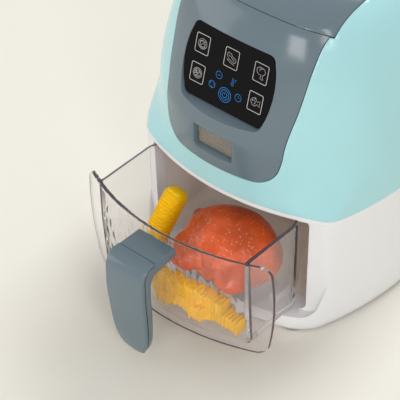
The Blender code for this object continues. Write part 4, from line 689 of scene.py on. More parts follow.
def panel_half_width(height, low, high):
    """Half the drawer front's width at a height, with its corners rounded."""
    bow = (height - PANEL_WIDEST_HEIGHT) ** 2 / (2.0 * PANEL_SIDE_RADIUS)
    into = max(low + PANEL_CORNER_RADIUS - height, height - high + PANEL_CORNER_RADIUS, 0.0)
    round_off = math.sqrt(max(PANEL_CORNER_RADIUS ** 2 - into ** 2, 0.0))
    return PANEL_HALF_WIDTH - bow - PANEL_CORNER_RADIUS + round_off


def panel_heights(low, high, middle_steps):
    """Levels up the drawer front, closer together round its corners."""
    radius = PANEL_CORNER_RADIUS
    middle = [low + radius + (high - low - 2.0 * radius) * i / middle_steps for i in range(1, middle_steps)]
    return ([low + radius * inside for _, inside in rounding(8)] + middle
            + [high - radius * below for below, _ in rounding(8)])


def spread(half_width, steps):
    """Evenly spread places from one side to the other."""
    return [half_width * (2.0 * i / steps - 1.0) for i in range(steps + 1)]


def seat_y(height):
    """The seat behind the closed drawer front, on the middle line."""
    lowest = PANEL_FRONT_Y + CLOSING_TRAVEL + panel_setback(PANEL_BOTTOM) + GAP
    return lowest - SEAT_LEAN * (height - OPENING_BOTTOM) / (OPENING_TOP - OPENING_BOTTOM)


def seat_form():
    """The room that the closed drawer front fills."""
    low = OPENING_BOTTOM
    high = OPENING_TOP - GAP
    rings = []
    for height in panel_heights(low, high, 8):
        places = spread(panel_half_width(height, low, high) + SEAT_SIDE_GAP, 40)
        ring = [(x, -REACH, height) for x in places]
        ring += [(x, seat_y(height) + panel_arc_y(x, PANEL_THICKNESS), height) for x in reversed(places)]
        rings.append(ring)
    return loft(rings)


def add_runners(item, front, rear):
    """Join the two runners that the drawer slides on to a piece."""
    low = OPENING_BOTTOM - RUNNER_ROOT
    high = TRAY_BOTTOM - GAP
    size = (RUNNER_WIDTH, rear - front, high - low)
    runners = [new_object("runner", block((x, (front + rear) / 2.0, (low + high) / 2.0), size))
               for x in (-RUNNER_X, RUNNER_X)]
    carve(item, *runners, operation="UNION")


def band_outline(grow):
    """The grey band, seen from the front."""
    bottom = BAND_BOTTOM - grow
    radius = BAND_CORNER_RADIUS + grow
    half = arc((BAND_FLAT_HALF_WIDTH, bottom + radius), radius, -math.pi / 2.0, -math.pi / 12.0, 12)
    heights = [half[-1][1]] + [share * BODY_HEIGHT for share, _ in BAND_SHARES]
    widths = [half[-1][0]] + [width + grow for _, width in BAND_SHARES]
    heights.append(COVER_START_SHARE * BODY_HEIGHT)
    widths.append(COVER_HALF_WIDTH + grow)
    width_at = track(heights, widths)
    steps = 36
    for k in range(1, steps + 1):
        height = heights[0] + (heights[-1] - heights[0]) * k / steps
        half.append((width_at(height), height))
    half.append((COVER_HALF_WIDTH + grow, BODY_HEIGHT + REACH))
    return mirrored(half)


def cover_outline(grow):
    """The grey cover, seen from above."""
    half_width = COVER_HALF_WIDTH + grow
    rear = COVER_REAR_Y + grow
    radius = COVER_REAR_RADIUS + grow
    return fillet([(-half_width, -REACH, 0.0), (half_width, -REACH, 0.0), (half_width, rear, radius),
                   (-half_width, rear, radius)], 14)


def seam_wedge(above, lift):
    """The space above or below the seam between the control panel and the cover."""
    front = -REACH * 2.0
    rear = BODY_DEPTH + REACH * 2.0
    line = [(y, COVER_SEAM_Z + COVER_SEAM_SLOPE * (y - COVER_SEAM_Y) + lift) for y in (front, rear)]
    limit = BODY_HEIGHT * 2.0 if above else -BODY_HEIGHT
    return new_object("wedge", prism([*line, (rear, limit), (front, limit)], "X", -WEDGE_HALF_WIDTH,
                                     WEDGE_HALF_WIDTH))


def band_zone(grow, lift):
    """The space of the control panel."""
    zone = new_object("band_zone", prism(band_outline(grow), "Y", -REACH, BODY_DEPTH / 2.0))
    return carve(zone, seam_wedge(False, lift), operation="INTERSECT")


def cover_zone(grow, lift):
    """The space of the top cover."""
    zone = new_object("cover_zone", prism(cover_outline(grow), "Z", SEAM_HEIGHT, BODY_HEIGHT + REACH))
    return carve(zone, seam_wedge(True, lift), operation="INTERSECT")


LENS_PLACE = Matrix.Translation((0.0, LENS_Y, LENS_Z)) @ Matrix.Rotation(math.pi / 2.0 - LENS_LEAN, 4, "X")


def lens_outline(grow, lip=0.0):
    """The lens outline: straight top and bottom, bowed sides."""
    radius = LENS_SIDE_RADIUS + grow
    centre = LENS_HALF_WIDTH - LENS_SIDE_RADIUS
    low = LENS_BOTTOM - grow - lip
    high = LENS_TOP + grow
    steps = 16
    right = []
    for i in range(steps + 1):
        up = low + (high - low) * i / steps
        level = LENS_BOTTOM + (up - low) * (LENS_TOP - LENS_BOTTOM) / (high - low)
        x = centre + math.sqrt(radius ** 2 - (level - LENS_WIDEST) ** 2)
        if i in (0, steps):
            right.append((x, up, LENS_CORNER_RADIUS + grow))
        elif 3 <= i <= steps - 3:
            right.append((x, up, 0.0))
    left = [(-x, up, round_radius) for x, up, round_radius in reversed(right)]
    return fillet(right + left, 8)


def lens_solid(name, rings):
    """An object drawn on the lens plane from rings of (outline, level)."""
    return new_object(name, loft([[(x, up, level) for x, up in outline] for outline, level in rings]),
                      LENS_PLACE)


def key_outline(grow=0.0):
    """A food key's outline."""
    return rectangle(KEY_WIDTH / 2.0 + grow, -KEY_HEIGHT / 2.0 - grow, KEY_HEIGHT / 2.0 + grow,
                     KEY_CORNER + grow)


def power_outline(grow=0.0):
    """The power key's outline."""
    return circle(POWER_KEY_RADIUS + grow, 40)


KEYS = (
    ("food_key_1", key_outline, (-KEY_X, KEY_UPPER)),
    ("food_key_2", key_outline, (0.0, KEY_UPPER)),
    ("food_key_3", key_outline, (KEY_X, KEY_UPPER)),
    ("food_key_4", key_outline, (-KEY_X, KEY_LOWER)),
    ("food_key_5", key_outline, (KEY_X, KEY_LOWER)),
    ("power_key", power_outline, (0.0, POWER_KEY_UP)),
)


def key_holes():
    """Cutters for the key windows."""
    tools = []
    for name, outline, (x, up) in KEYS:
        moved = [(x + u, up + v) for u, v in outline(GAP)]
        tools.append(lens_solid(name + "_hole", ((moved, -KEY_HOLE_DEPTH), (moved, REACH))))
    return tools


def display_outline(grow=0.0):
    """The display's outline, seen from the front."""
    return rectangle(DISPLAY_HALF_WIDTH + grow, DISPLAY_BOTTOM - grow, DISPLAY_TOP + grow,
                     DISPLAY_CORNER + grow)


def display_solid(name, *levels):
    """An object on the display's outline from levels of (growth, depth)."""
    return new_object(name, loft([[(x, y, z) for x, z in display_outline(grow)] for grow, y in levels]))


DISPLAY_BACK = DISPLAY_FRONT_Y + DISPLAY_WINDOW + GAP + DISPLAY_SCREEN
OVERLAY_BACK = -LENS_THICKNESS
FLOOR_BACK = OVERLAY_BACK - GAP - POCKET_FLOOR


def node_group(name, inputs, outputs):
    """An empty shader node group with named sockets, its input and its output node."""
    group = bpy.data.node_groups.new(name, "ShaderNodeTree")
    for label, kind in inputs:
        group.interface.new_socket(name=label, in_out="INPUT", socket_type=kind)
    for label, kind in outputs:
        group.interface.new_socket(name=label, in_out="OUTPUT", socket_type=kind)
    return group, group.nodes.new("NodeGroupInput"), group.nodes.new("NodeGroupOutput")


def add_node(tree, kind, values=None, sources=None, **options):
    """A shader node with its options, its inputs' values and the sockets that feed it."""
    node = tree.nodes.new("ShaderNode" + kind)
    for name, option in options.items():
        setattr(node, name, option)
    for name, value in (values or {}).items():
        node.inputs[name].default_value = value
    for name, source in (sources or {}).items():
        tree.links.new(source, node.inputs[name])
    return node


def for_ray(tree, ray, usual, other, end):
    """Show one kind of ray another shader than the usual one."""
    path = add_node(tree, "LightPath")
    choice = add_node(tree, "MixShader", None, {"Fac": path.outputs[ray], 1: usual.outputs[0],
                                                2: other.outputs[0]})
    tree.links.new(choice.outputs[0], tree.nodes[end].inputs["Surface"])


def moulded_surface():
    """Shared effect: faint mottling, uneven gloss and the fine orange peel of moulded plastic."""
    found = bpy.data.node_groups.get("moulded_surface")
    if found:
        return found
    group, given, out = node_group(
        "moulded_surface",
        [("Colour", "NodeSocketColor"), ("Gloss", "NodeSocketFloat"), ("Mottle", "NodeSocketFloat"),
         ("Grain Scale", "NodeSocketFloat"), ("Relief", "NodeSocketFloat")],
        [("Colour", "NodeSocketColor"), ("Roughness", "NodeSocketFloat"), ("Normal", "NodeSocketVector")])
    place = add_node(group, "TexCoord").outputs["Object"]
    clouds = add_node(group, "TexNoise", {"Scale": 38.0, "Detail": 3.0}, {"Vector": place}).outputs["Fac"]
    grain = add_node(group, "TexNoise", {"Detail": 1.0},
                     {"Vector": place, "Scale": given.outputs["Grain Scale"]})
    centred = add_node(group, "Math", {1: 0.5}, {0: clouds}, operation="SUBTRACT")
    amount = add_node(group, "Math", {2: 1.0}, {0: centred.outputs[0], 1: given.outputs["Mottle"]},
                      operation="MULTIPLY_ADD")
    tone = add_node(group, "VectorMath", None, {0: given.outputs["Colour"], "Scale": amount.outputs[0]},
                    operation="SCALE")
    uneven = add_node(group, "MapRange", {"To Min": 0.75, "To Max": 1.25}, {"Value": clouds})
    gloss = add_node(group, "Math", None, {0: given.outputs["Gloss"], 1: uneven.outputs["Result"]},
                     operation="MULTIPLY")
    bump = add_node(group, "Bump", {"Distance": 0.0001},
                    {"Strength": given.outputs["Relief"], "Height": grain.outputs["Fac"]})
    for name, node in (("Colour", tone), ("Roughness", gloss), ("Normal", bump)):
        group.links.new(node.outputs[0], out.inputs[name])
    return group


def finish(name, colour, gloss, mottle=0.10, grain=900.0, relief=0.05, **plain):
    """A moulded finish. The plain values are set on the shader's own sockets."""
    found = bpy.data.materials.get(name)
    if found:
        return found
    made = bpy.data.materials.new(name)
    made.use_nodes = True
    tree = made.node_tree
    shader = tree.nodes["Principled BSDF"]
    surface = add_node(tree, "Group", node_tree=moulded_surface())
    values = {"Colour": (*colour, 1.0), "Gloss": gloss, "Mottle": mottle, "Grain Scale": grain,
              "Relief": relief}
    for socket, value in values.items():
        surface.inputs[socket].default_value = value
    for socket, source in (("Base Color", "Colour"), ("Roughness", "Roughness"), ("Normal", "Normal")):
        tree.links.new(surface.outputs[source], shader.inputs[socket])
    for socket, value in plain.items():
        shader.inputs[socket.replace("_", " ")].default_value = value
    return made


def housing():
    return bpy.context.scene.fryer_housing


def mint_look():
    return finish("mint_gloss", housing().mint, 0.18, 0.04)


def white_look():
    return finish("white_gloss", housing().white, 0.22, 0.03)


def slate_look():
    return finish("slate_gloss", housing().slate, 0.17, 0.06)


def black_look():
    return finish("lens_black", bpy.context.scene.fryer_lens.black, 0.06, 0.3, 700.0, 0.01,
                  Specular_IOR_Level=0.10)


def clear_look():
    """Clear drawer plastic that lets lamps shine through it."""
    found = bpy.data.materials.get("clear_drawer")
    if found:
        return found
    made = finish("clear_drawer", bpy.context.scene.fryer_drawer.clear, 0.03, 0.02, 500.0, 0.03,
                  Transmission_Weight=0.985, IOR=1.12, Coat_Weight=0.6, Coat_Roughness=0.03)
    tree = made.node_tree
    through = add_node(tree, "BsdfTransparent", {"Color": (0.93, 0.925, 0.925, 1.0)})
    for_ray(tree, "Is Shadow Ray", tree.nodes["Principled BSDF"], through, "Material Output")
    return made


def edge_look():
    """The darker look of the clear plastic's edges."""
    return finish("clear_edge", bpy.context.scene.fryer_drawer.edge, 0.60, 0.10, 500.0, 0.0,
                  Specular_IOR_Level=0.2)


def junction_line(item, width):
    """Give the object's second material to a line where the tray's sides meet the drawer's front."""
    def back_of_front(height):
        return Vector((0.0, PANEL_FRONT_Y + panel_setback(height) + FRAME_Y
                       + panel_arc_y(TRAY_HALF_WIDTH, PANEL_THICKNESS) + width, height))

    def on_side(face):
        return (abs(face.normal.x) > 0.9
                and abs(abs(face.calc_center_median().x) - TRAY_HALF_WIDTH) < TRAY_WALL / 2.0)

    low = back_of_front(TRAY_BOTTOM)
    behind = (back_of_front(RIM_HEIGHT) - low).cross(Vector((1.0, 0.0, 0.0))).normalized()
    with shape_of(item) as bm:
        sides = [face for face in bm.faces if on_side(face)]
        around = {part for face in sides for part in [*face.edges, *face.verts]}
        bmesh.ops.bisect_plane(bm, geom=sides + list(around), plane_co=low, plane_no=-behind)
        bm.normal_update()
        for face in bm.faces:
            if on_side(face) and (face.calc_center_median() - low).dot(behind) < 0.0:
                face.material_index = 1


def edge_strip(item, test, margin):
    """Give the middle of the faces that pass a test the object's second material."""
    with shape_of(item) as bm:
        faces = [face for face in bm.faces if test(face.calc_center_median(), face.normal)]
        bmesh.ops.inset_region(bm, faces=faces, thickness=margin, use_even_offset=True)
        for face in faces:
            face.material_index = 1


def on_drawer_edge(centre, normal):
    """Whether a face lies on the drawer's rim or on the side or lower edge of its front."""
    if normal.z > 0.7:
        return centre.z > RIM_HEIGHT - 0.0002
    if abs(normal.y) > 0.5:
        return False
    beside = abs(centre.x) > TRAY_HALF_WIDTH + 0.004
    below = normal.z < -0.5 and centre.z < (PANEL_BOTTOM + TRAY_BOTTOM) / 2.0
    return beside or below


class FRYER_OT_lower_body(bpy.types.Operator):
    """Build the white lower body with its drawer opening and seat"""
    bl_idname = "fryer.lower_body"
    bl_label = "Lower Body"

    def execute(self, context):
        lip = context.scene.fryer_housing.lip
        body = new_object("lower_body_shell", lower_form(lip))
        hollow = new_object("lower_hollow", skin(WHITE_INSET + WALL, -REACH))
        behind = new_object("behind", block((0.0, FRAME_BACK_Y + BODY_DEPTH, BODY_HEIGHT / 2.0),
                                            (BODY_DEPTH * 2.0, BODY_DEPTH * 2.0, BODY_HEIGHT * 3.0)))
        carve(hollow, behind, operation="INTERSECT")
        opening = new_object("opening", prism(opening_outline(), "Y", -REACH, FRAME_BACK_Y + REACH))
        carve(body, hollow, opening, new_object("seat", seat_form()))
        soften(body, lip, where=lambda p: p.y < FRAME_Y + FRAME_BACK_Y - 0.002
               and p.z < SEAM_HEIGHT - 0.001)
        add_runners(body, RUNNER_FRONT_Y, FRAME_BACK_Y)
        dress(body, white_look(), "housing", "white_plastic", "lower_body")
        return {"FINISHED"}


class FRYER_OT_bay(bpy.types.Operator):
    """Build the bay that the drawer slides into"""
    bl_idname = "fryer.bay"
    bl_label = "Drawer Bay"

    def execute(self, context):
        front = FRAME_BACK_Y + GAP
        bay = new_object("bay_shell", prism(opening_outline(BAY_WALL), "Y", front, BAY_REAR_Y + BAY_WALL))
        flange = new_object("bay_flange", prism(opening_outline(BAY_FLANGE), "Y", front,
                                                front + BAY_FLANGE_THICKNESS))
        carve(bay, flange, operation="UNION")
        carve(bay, new_object("bay_room", prism(opening_outline(), "Y", front - REACH, BAY_REAR_Y)))
        add_runners(bay, front, BAY_REAR_Y + RUNNER_ROOT)
        # White plastic tinted warm: painted bounce light from the food in the drawer.
        look = finish("bay_white_painted_bounce", housing().bay, 0.35, 0.2, 900.0, 0.03)
        dress(bay, look, "housing", "white_plastic", "bay_liner")
        return {"FINISHED"}


class FRYER_OT_upper_shell(bpy.types.Operator):
    """Build the mint upper shell"""
    bl_idname = "fryer.upper_shell"
    bl_label = "Upper Shell"

    def execute(self, context):
        lip = context.scene.fryer_housing.lip
        shell = new_object("mint_shell", upper_form(lip))
        carve(shell, new_object("upper_hollow", skin(WALL, SHELL_LOW)))
        carve(shell, band_zone(BAND_GAP, BAND_GAP))
        carve(shell, cover_zone(BAND_GAP, -BAND_GAP))
        soften(shell, lip, where=lambda p: p.z > SEAM_HEIGHT + 0.004)
        dress(shell, mint_look(), "housing", "mint_plastic", "upper_shell")
        return {"FINISHED"}


class FRYER_OT_control_panel(bpy.types.Operator):
    """Build the grey control panel with its lens pocket and display pocket"""
    bl_idname = "fryer.control_panel"
    bl_label = "Control Panel"

    def execute(self, context):
        lip = context.scene.fryer_housing.lip
        panel = new_object("control_panel_shell", skin(0.0))
        hollow = new_object("panel_hollow", skin(WALL, -REACH))
        tub = lens_solid("lens_tub", ((lens_outline(POCKET_WALL), FLOOR_BACK),
                                      (lens_outline(POCKET_WALL), REACH)))
        carve(hollow, tub)
        carve(hollow, display_solid("display_tub", (DISPLAY_WALL, -REACH),
                                    (DISPLAY_WALL, DISPLAY_BACK + GAP + DISPLAY_WALL)))
        carve(panel, hollow)
        carve(panel, band_zone(0.0, 0.0), operation="INTERSECT")
        rings = [(lens_outline(GAP), OVERLAY_BACK - GAP), (lens_outline(GAP), 0.0)]
        steps = 10
        for k in range(1, steps + 1):
            share = k / steps
            opened = 1.0 - (1.0 - share) ** 2
            rings.append((lens_outline(GAP + (POCKET_FLARE - GAP) * opened, POCKET_LIP_FLARE * share * share),
                          POCKET_RISE * share))
        carve(panel, lens_solid("lens_pocket", rings))
        soften(panel, lip * 2.0, 4, 24.0)
        carve(panel, *key_holes())
        carve(panel, display_solid("display_pocket", (GAP, DISPLAY_BACK + GAP), (GAP, DISPLAY_FRONT_Y),
                                   (DISPLAY_FLARE, DISPLAY_FRONT_Y - DISPLAY_RISE)))
        soften(panel, lip, 3, 30.0, where=lambda p: abs(p.x) < DISPLAY_HALF_WIDTH + DISPLAY_LIP_ZONE
               and DISPLAY_BOTTOM - DISPLAY_LIP_ZONE < p.z < DISPLAY_TOP + DISPLAY_LIP_ZONE
               and p.y < FRAME_Y + DISPLAY_FRONT_Y - 0.001)
        dress(panel, slate_look(), "housing", "slate_plastic", "control_panel")
        return {"FINISHED"}


class FRYER_OT_top_cover(bpy.types.Operator):
    """Build the grey cover on top"""
    bl_idname = "fryer.top_cover"
    bl_label = "Top Cover"

    def execute(self, context):
        cover = new_object("top_cover_shell", skin(0.0))
        carve(cover, new_object("cover_hollow", skin(WALL, -REACH)))
        carve(cover, cover_zone(0.0, GAP), operation="INTERSECT")
        soften(cover, context.scene.fryer_housing.lip)
        dress(cover, slate_look(), "housing", "slate_plastic", "top_cover")
        return {"FINISHED"}


class FRYER_OT_lens(bpy.types.Operator):
    """Build the black lens and the six keys that stand in it"""
    bl_idname = "fryer.lens"
    bl_label = "Lens and Keys"

    def execute(self, context):
        edge = LENS_EDGE
        overlay = lens_solid("lens_overlay", [(lens_outline(grow), level) for grow, level
                                              in ((0.0, OVERLAY_BACK), (0.0, -edge), (-edge, 0.0))])
        carve(overlay, *key_holes())
        dress(overlay, black_look(), "housing", "black_gloss", "panel_overlay")
        back = FLOOR_BACK - GAP
        levels = ((-edge, 0.0), (0.0, -edge), (0.0, back), (KEY_SKIRT_RIM, back),
                  (KEY_SKIRT_RIM, back - KEY_SKIRT))
        for name, outline, (x, up) in KEYS:
            rings = [([(x + u, up + v) for u, v in outline(grow)], level) for grow, level in levels]
            dress(lens_solid(name + "_cap", rings), black_look(), name, "black_gloss", name)
        return {"FINISHED"}


def stroke_object(name, strokes, width, place=(0.0, 0.0)):
    """Printed lines as low rounded ribs: strokes are (points, closed) on the lens plane."""
    curve = bpy.data.curves.new(name, "CURVE")
    curve.dimensions = "3D"
    curve.bevel_depth = width / 2.0
    curve.bevel_resolution = 2
    curve.use_fill_caps = True
    for points, closed in strokes:
        spline = curve.splines.new("POLY")
        spline.points.add(len(points) - 1)
        for point, (x, up) in zip(spline.points, points):
            point.co = (place[0] + x, place[1] + up, 0.0, 1.0)
        spline.use_cyclic_u = closed
    source = bpy.data.objects.new(name, curve)
    bpy.context.scene.collection.objects.link(source)
    graph = bpy.context.evaluated_depsgraph_get()
    mesh = bpy.data.meshes.new_from_object(source.evaluated_get(graph))
    bpy.data.objects.remove(source)
    bm = bmesh.new()
    bm.from_mesh(mesh)
    bpy.data.meshes.remove(mesh)
    bmesh.ops.scale(bm, vec=(1.0, 1.0, STROKE_FLATNESS), verts=bm.verts)
    return new_object(name, bm, LENS_PLACE)


def scaled(points, size, closed=False):
    """Symbol points given in tenths of half a symbol's size."""
    return [(x * size / 10.0, y * size / 10.0) for x, y in points], closed


def ring(radius, centre=(0.0, 0.0), steps=20):
    """A round stroke."""
    return circle(radius, steps, centre), True


def bow(radius, start, end, centre=(0.0, 0.0), steps=12):
    """A stroke along an arc, with its ends in degrees."""
    return arc(centre, radius, math.radians(start), math.radians(end), steps), False


STROKE_FLATNESS = 0.16
SYMBOL = 0.0036
ROUND_SYMBOL = 0.0021
LESS_PLACE = (-0.0060, -0.0015)
FAN_PLACE = (-0.0095, -0.0085)
HEAT_PLACE = (0.0036, -0.0014)
CLOCK_PLACE = (0.0090, -0.0088)


def food_symbols():
    """The foods' symbols in the order of their keys."""
    s = SYMBOL
    bowl = [ring(s * 0.82), ring(s * 0.50), bow(s * 0.66, 200.0, 330.0),
            scaled([(-6, 3), (-2, 5), (2, 3), (6, 5)], s), scaled([(-3, -2), (1, 1), (4, -1)], s)]
    slab = [(-9, 4), (-7, 8), (-2, 7), (2, 3), (8, 1), (9, -3), (6, -6), (0, -4), (-6, -2)]
    meat = [scaled(slab, s, True), scaled([(-6, 4), (-3, 2)], s), scaled([(-2, 3), (2, 0)], s),
            scaled([(2, 0), (6, -3)], s), scaled([(-8, -4), (-1, -7), (7, -9)], s)]
    lobe = [(-8, 2), (-8, 6), (-4, 9), (1, 9), (6, 8), (8, 4), (7, 0), (4, -2), (4, -6), (6, -8), (4, -10),
            (2, -8), (0, -9), (0, -6), (1, -2), (-3, -3), (-6, -1)]
    drumstick = [scaled(lobe, s, True), bow(s * 0.34, 60.0, 200.0, (s * 0.05, s * 0.42))]
    pie = [ring(s * 0.84), ring(s * 0.62), scaled([(-6, -2), (6, 2)], s), scaled([(-3, 5), (3, -5)], s),
           *(ring(s * 0.13, (s * x, s * y), 8) for x, y in ((0.3, 0.36), (-0.34, 0.2), (-0.1, -0.4)))]
    body = [(-9, 1), (-5, 6), (0, 6), (4, 2), (9, 5), (8, 0), (9, -5), (4, -2), (0, -6), (-5, -5)]
    fish = [scaled(body, s, True), ring(s * 0.10, (-s * 0.5, s * 0.2), 8),
            bow(s * 0.40, -60.0, 60.0, (-s * 0.4, 0.0)), scaled([(-2, 8), (1, 6)], s)]
    return bowl, meat, drumstick, pie, fish


def round_symbols():
    """The signs round the power key: less, clock, fan and heat."""
    small = ROUND_SYMBOL
    less = [ring(small), scaled([(-5, 0), (5, 0)], small)]
    clock = [ring(small), scaled([(0, 6.2), (0, 0), (4.5, 0)], small)]
    fan = [ring(small)]
    for turn in (20.0, 140.0, 260.0):
        angle = math.radians(turn)
        middle = (small * 0.40 * math.cos(angle), small * 0.40 * math.sin(angle))
        fan.append(bow(small * 0.30, turn - 60.0, turn + 100.0, middle, 6))
    heat = [ring(small * 0.40, (0.0, -small * 0.76), 12),
            scaled([(-2, -4.8), (-2, 8.6), (2, 8.6), (2, -4.8)], small),
            scaled([(5.7, 7.6), (11.4, 7.6)], small), scaled([(5.7, 2.4), (9.5, 2.4)], small)]
    groups = ((LESS_PLACE, less), (CLOCK_PLACE, clock), (FAN_PLACE, fan), (HEAT_PLACE, heat))
    return [([(x + u, y + v) for u, v in points], closed)
            for (x, y), drawn in groups for points, closed in drawn]


class FRYER_OT_prints(bpy.types.Operator):
    """Print the food symbols and the round symbols on the lens"""
    bl_idname = "fryer.prints"
    bl_label = "Printed Symbols"

    def execute(self, context):
        settings = context.scene.fryer_lens
        width = settings.stroke
        grey = finish("print_grey", settings.print_grey, 0.45, 0.35, 900.0, 0.05)
        # The blue print gets a weak emission: a painted glow that brightens the symbols.
        blue_with_painted_glow = finish("print_blue_and_painted_glow", settings.print_blue_and_painted_glow, 0.40, 0.30, 900.0, 0.05,
                      Emission_Color=(*settings.print_blue_and_painted_glow, 1.0), Emission_Strength=0.25)
        for symbol, (name, _, place) in zip(food_symbols(), KEYS):
            frame_line = stroke_object(name + "_frame", [(key_outline(-width), True)], width, place)
            dress(frame_line, grey, name, "black_gloss")
            dress(stroke_object(name + "_symbol", symbol, width * 0.55, place), grey, name, "black_gloss")
        r = POWER_KEY_RADIUS
        power = [ring(r - width * 0.5, steps=32), ring(r * 0.66, steps=28),
                 bow(r * 0.36, 125.0, 415.0, steps=18), scaled([(0, 1.0), (0, 4.6)], r)]
        drawn = stroke_object("power_symbol", power, width * 0.72, (0.0, POWER_KEY_UP))
        dress(drawn, blue_with_painted_glow, "power_key", "led_blue")
        dress(stroke_object("round_symbols", round_symbols(), width * 0.55), blue_with_painted_glow, "housing", "led_blue")
        return {"FINISHED"}


class FRYER_OT_display(bpy.types.Operator):
    """Build the display and its window"""
    bl_idname = "fryer.display"
    bl_label = "Display"

    def execute(self, context):
        front = DISPLAY_FRONT_Y
        window = display_solid("display_pane", (-DISPLAY_EDGE, front), (0.0, front + DISPLAY_EDGE),
                               (0.0, front + DISPLAY_WINDOW))
        dress(window, clear_look(), "housing", "clear_plastic", "display_window")
        cell = display_solid("display_cell", (0.0, front + DISPLAY_WINDOW + GAP), (0.0, DISPLAY_BACK))
        screen = finish("display_grey", context.scene.fryer_lens.screen, 0.35, 0.06, 3000.0, 0.03)
        dress(cell, screen, "housing", "display_screen", "display_screen")
        return {"FINISHED"}


def ripple(x, height, settings):
    """How far the drawer front's outer face sinks at a place. The ripples fade out near its edges."""
    fade = min(1.0, (RIM_HEIGHT - height) / RIPPLE_FADE, (height - PANEL_BOTTOM) / RIPPLE_FADE)
    side = min(1.0, (TRAY_HALF_WIDTH - TRAY_WALL - abs(x)) / RIPPLE_SIDE_FADE)
    across, up = x / settings.pitch, height / settings.pitch
    wander = noise.noise(Vector((x * 60.0, height * 45.0, 3.7))) * 1.3
    fine = noise.noise(Vector((across * 1.25 + wander, up * 0.42, 8.2)))
    broad = noise.noise(Vector((across * 0.55 + wander, up * 0.22, 1.1)))
    return settings.ripple * max(1.0 + fine * 1.5 + broad * 0.9, 0.0) * max(fade, 0.0) * max(side, 0.0)


def tray_ring(height, inset, depth_in_panel):
    """One level of the tray, from the drawer front round its sides and rear."""
    draft = max(TRAY_DRAFT * (RIM_HEIGHT - height) / (RIM_HEIGHT - TRAY_BOTTOM), 0.0)
    half_width = TRAY_HALF_WIDTH - draft - inset
    rear_half_width = TRAY_HALF_WIDTH - TRAY_CHAMFER - inset / 2.0
    back = PANEL_FRONT_Y + panel_setback(min(height, RIM_HEIGHT))
    line = [(x, back + panel_arc_y(x, depth_in_panel)) for x in spread(half_width, TRAY_COLUMNS)]
    bend = TRAY_BEND_Y - inset / 2.0
    rear = TRAY_REAR_Y - inset
    right = [(half_width, line[-1][1], 0.0), (half_width, bend, TRAY_BEND_RADIUS),
             (rear_half_width, rear, TRAY_REAR_RADIUS)]
    turns = fillet(right + [(-x, y, radius) for x, y, radius in reversed(right)], 6)
    return [(x, y, height) for x, y in line + turns[1:-1]]


def tray_form(inset, floor, top, depth_in_panel):
    """A tray form with rounded bottom edges."""
    radius = TRAY_EDGE_RADIUS
    rings = [tray_ring(floor + radius * inside, inset + radius * below, depth_in_panel)
             for below, inside in rounding(6)]
    for share in (0.2, 0.4, 0.6, 0.8, 1.0):
        height = (floor + radius) * (1.0 - share) + RIM_HEIGHT * share
        rings.append(tray_ring(height, inset, depth_in_panel))
    if top > RIM_HEIGHT:
        rings.append([(x, y, top) for x, y, _ in rings[-1]])
    return loft(rings)


class FRYER_OT_drawer(bpy.types.Operator):
    """Build the clear drawer with its rippled front"""
    bl_idname = "fryer.drawer"
    bl_label = "Clear Drawer"

    def execute(self, context):
        settings = context.scene.fryer_drawer
        rings = []
        for height in panel_heights(PANEL_BOTTOM, RIM_HEIGHT, PANEL_LEVELS):
            places = spread(panel_half_width(height, PANEL_BOTTOM, RIM_HEIGHT), PANEL_COLUMNS)
            back = PANEL_FRONT_Y + panel_setback(height)
            rings.append([(x, back + panel_arc_y(x, 0.0) + ripple(x, height, settings), height)
                          for x in places]
                         + [(x, back + panel_arc_y(x, PANEL_THICKNESS), height) for x in reversed(places)])
        drawer = new_object("drawer_clear", loft(rings))
        carve(drawer, new_object("tray", tray_form(0.0, TRAY_BOTTOM, RIM_HEIGHT, PANEL_THICKNESS / 2.0)),
              operation="UNION")
        carve(drawer, new_object("tray_room", tray_form(TRAY_WALL, TRAY_BOTTOM + TRAY_FLOOR,
                                                        RIM_HEIGHT + REACH,
                                                        PANEL_THICKNESS - ROOM_OVERLAP)))
        dress(drawer, [clear_look(), edge_look()], "drawer", "clear_plastic", "drawer_tray", sharp=30.0)
        edge_strip(drawer, on_drawer_edge, EDGE_MARGIN)
        junction_line(drawer, JUNCTION_WIDTH)
        return {"FINISHED"}


def handle_point(reach, height):
    """A point of the handle's side view."""
    return Vector((0.0, PANEL_FRONT_Y - GAP - reach * HANDLE_REACH,
                   HANDLE_BOTTOM + height * (HANDLE_TOP - HANDLE_BOTTOM)))


def handle_stations(rows, steps):
    """Closely spaced stations between the given ones."""
    places = [0.0]
    for low, high in zip(rows, rows[1:]):
        places.append(places[-1] + max((handle_point(*high[:2]) - handle_point(*low[:2])).length, 0.001))
    return closely(rows, places, steps)


def half_profile(half_width, depth, edge, crown, shoulder):
    """One side of a station's cross-section, from the seam to its middle."""
    points = [(half_width - shoulder * below, shoulder * inside) for below, inside in rounding(5)]
    points += [(half_width - edge * inside, depth - crown - edge * below) for below, inside in rounding(5)]
    for share in (0.75, 0.5, 0.25):
        x = (half_width - edge) * share
        points.append((x, depth - crown * share * share))
    return points


def station_ring(base, tip, half_width, edge, crown, shoulder=HANDLE_SHOULDER):
    """A closed cross-section from the seam line to its outer face."""
    depth = (tip - base).length
    unit = (tip - base).normalized()
    edge = min(edge, depth * 0.45, half_width * 0.45)
    crown = min(crown, depth * 0.2)
    side = half_profile(half_width, depth, edge, crown, min(shoulder, depth * 0.3))
    profile = side + [(0.0, depth)] + [(-x, down) for x, down in reversed(side)]
    return [base + unit * down + Vector((x, 0.0, 0.0)) for x, down in profile]


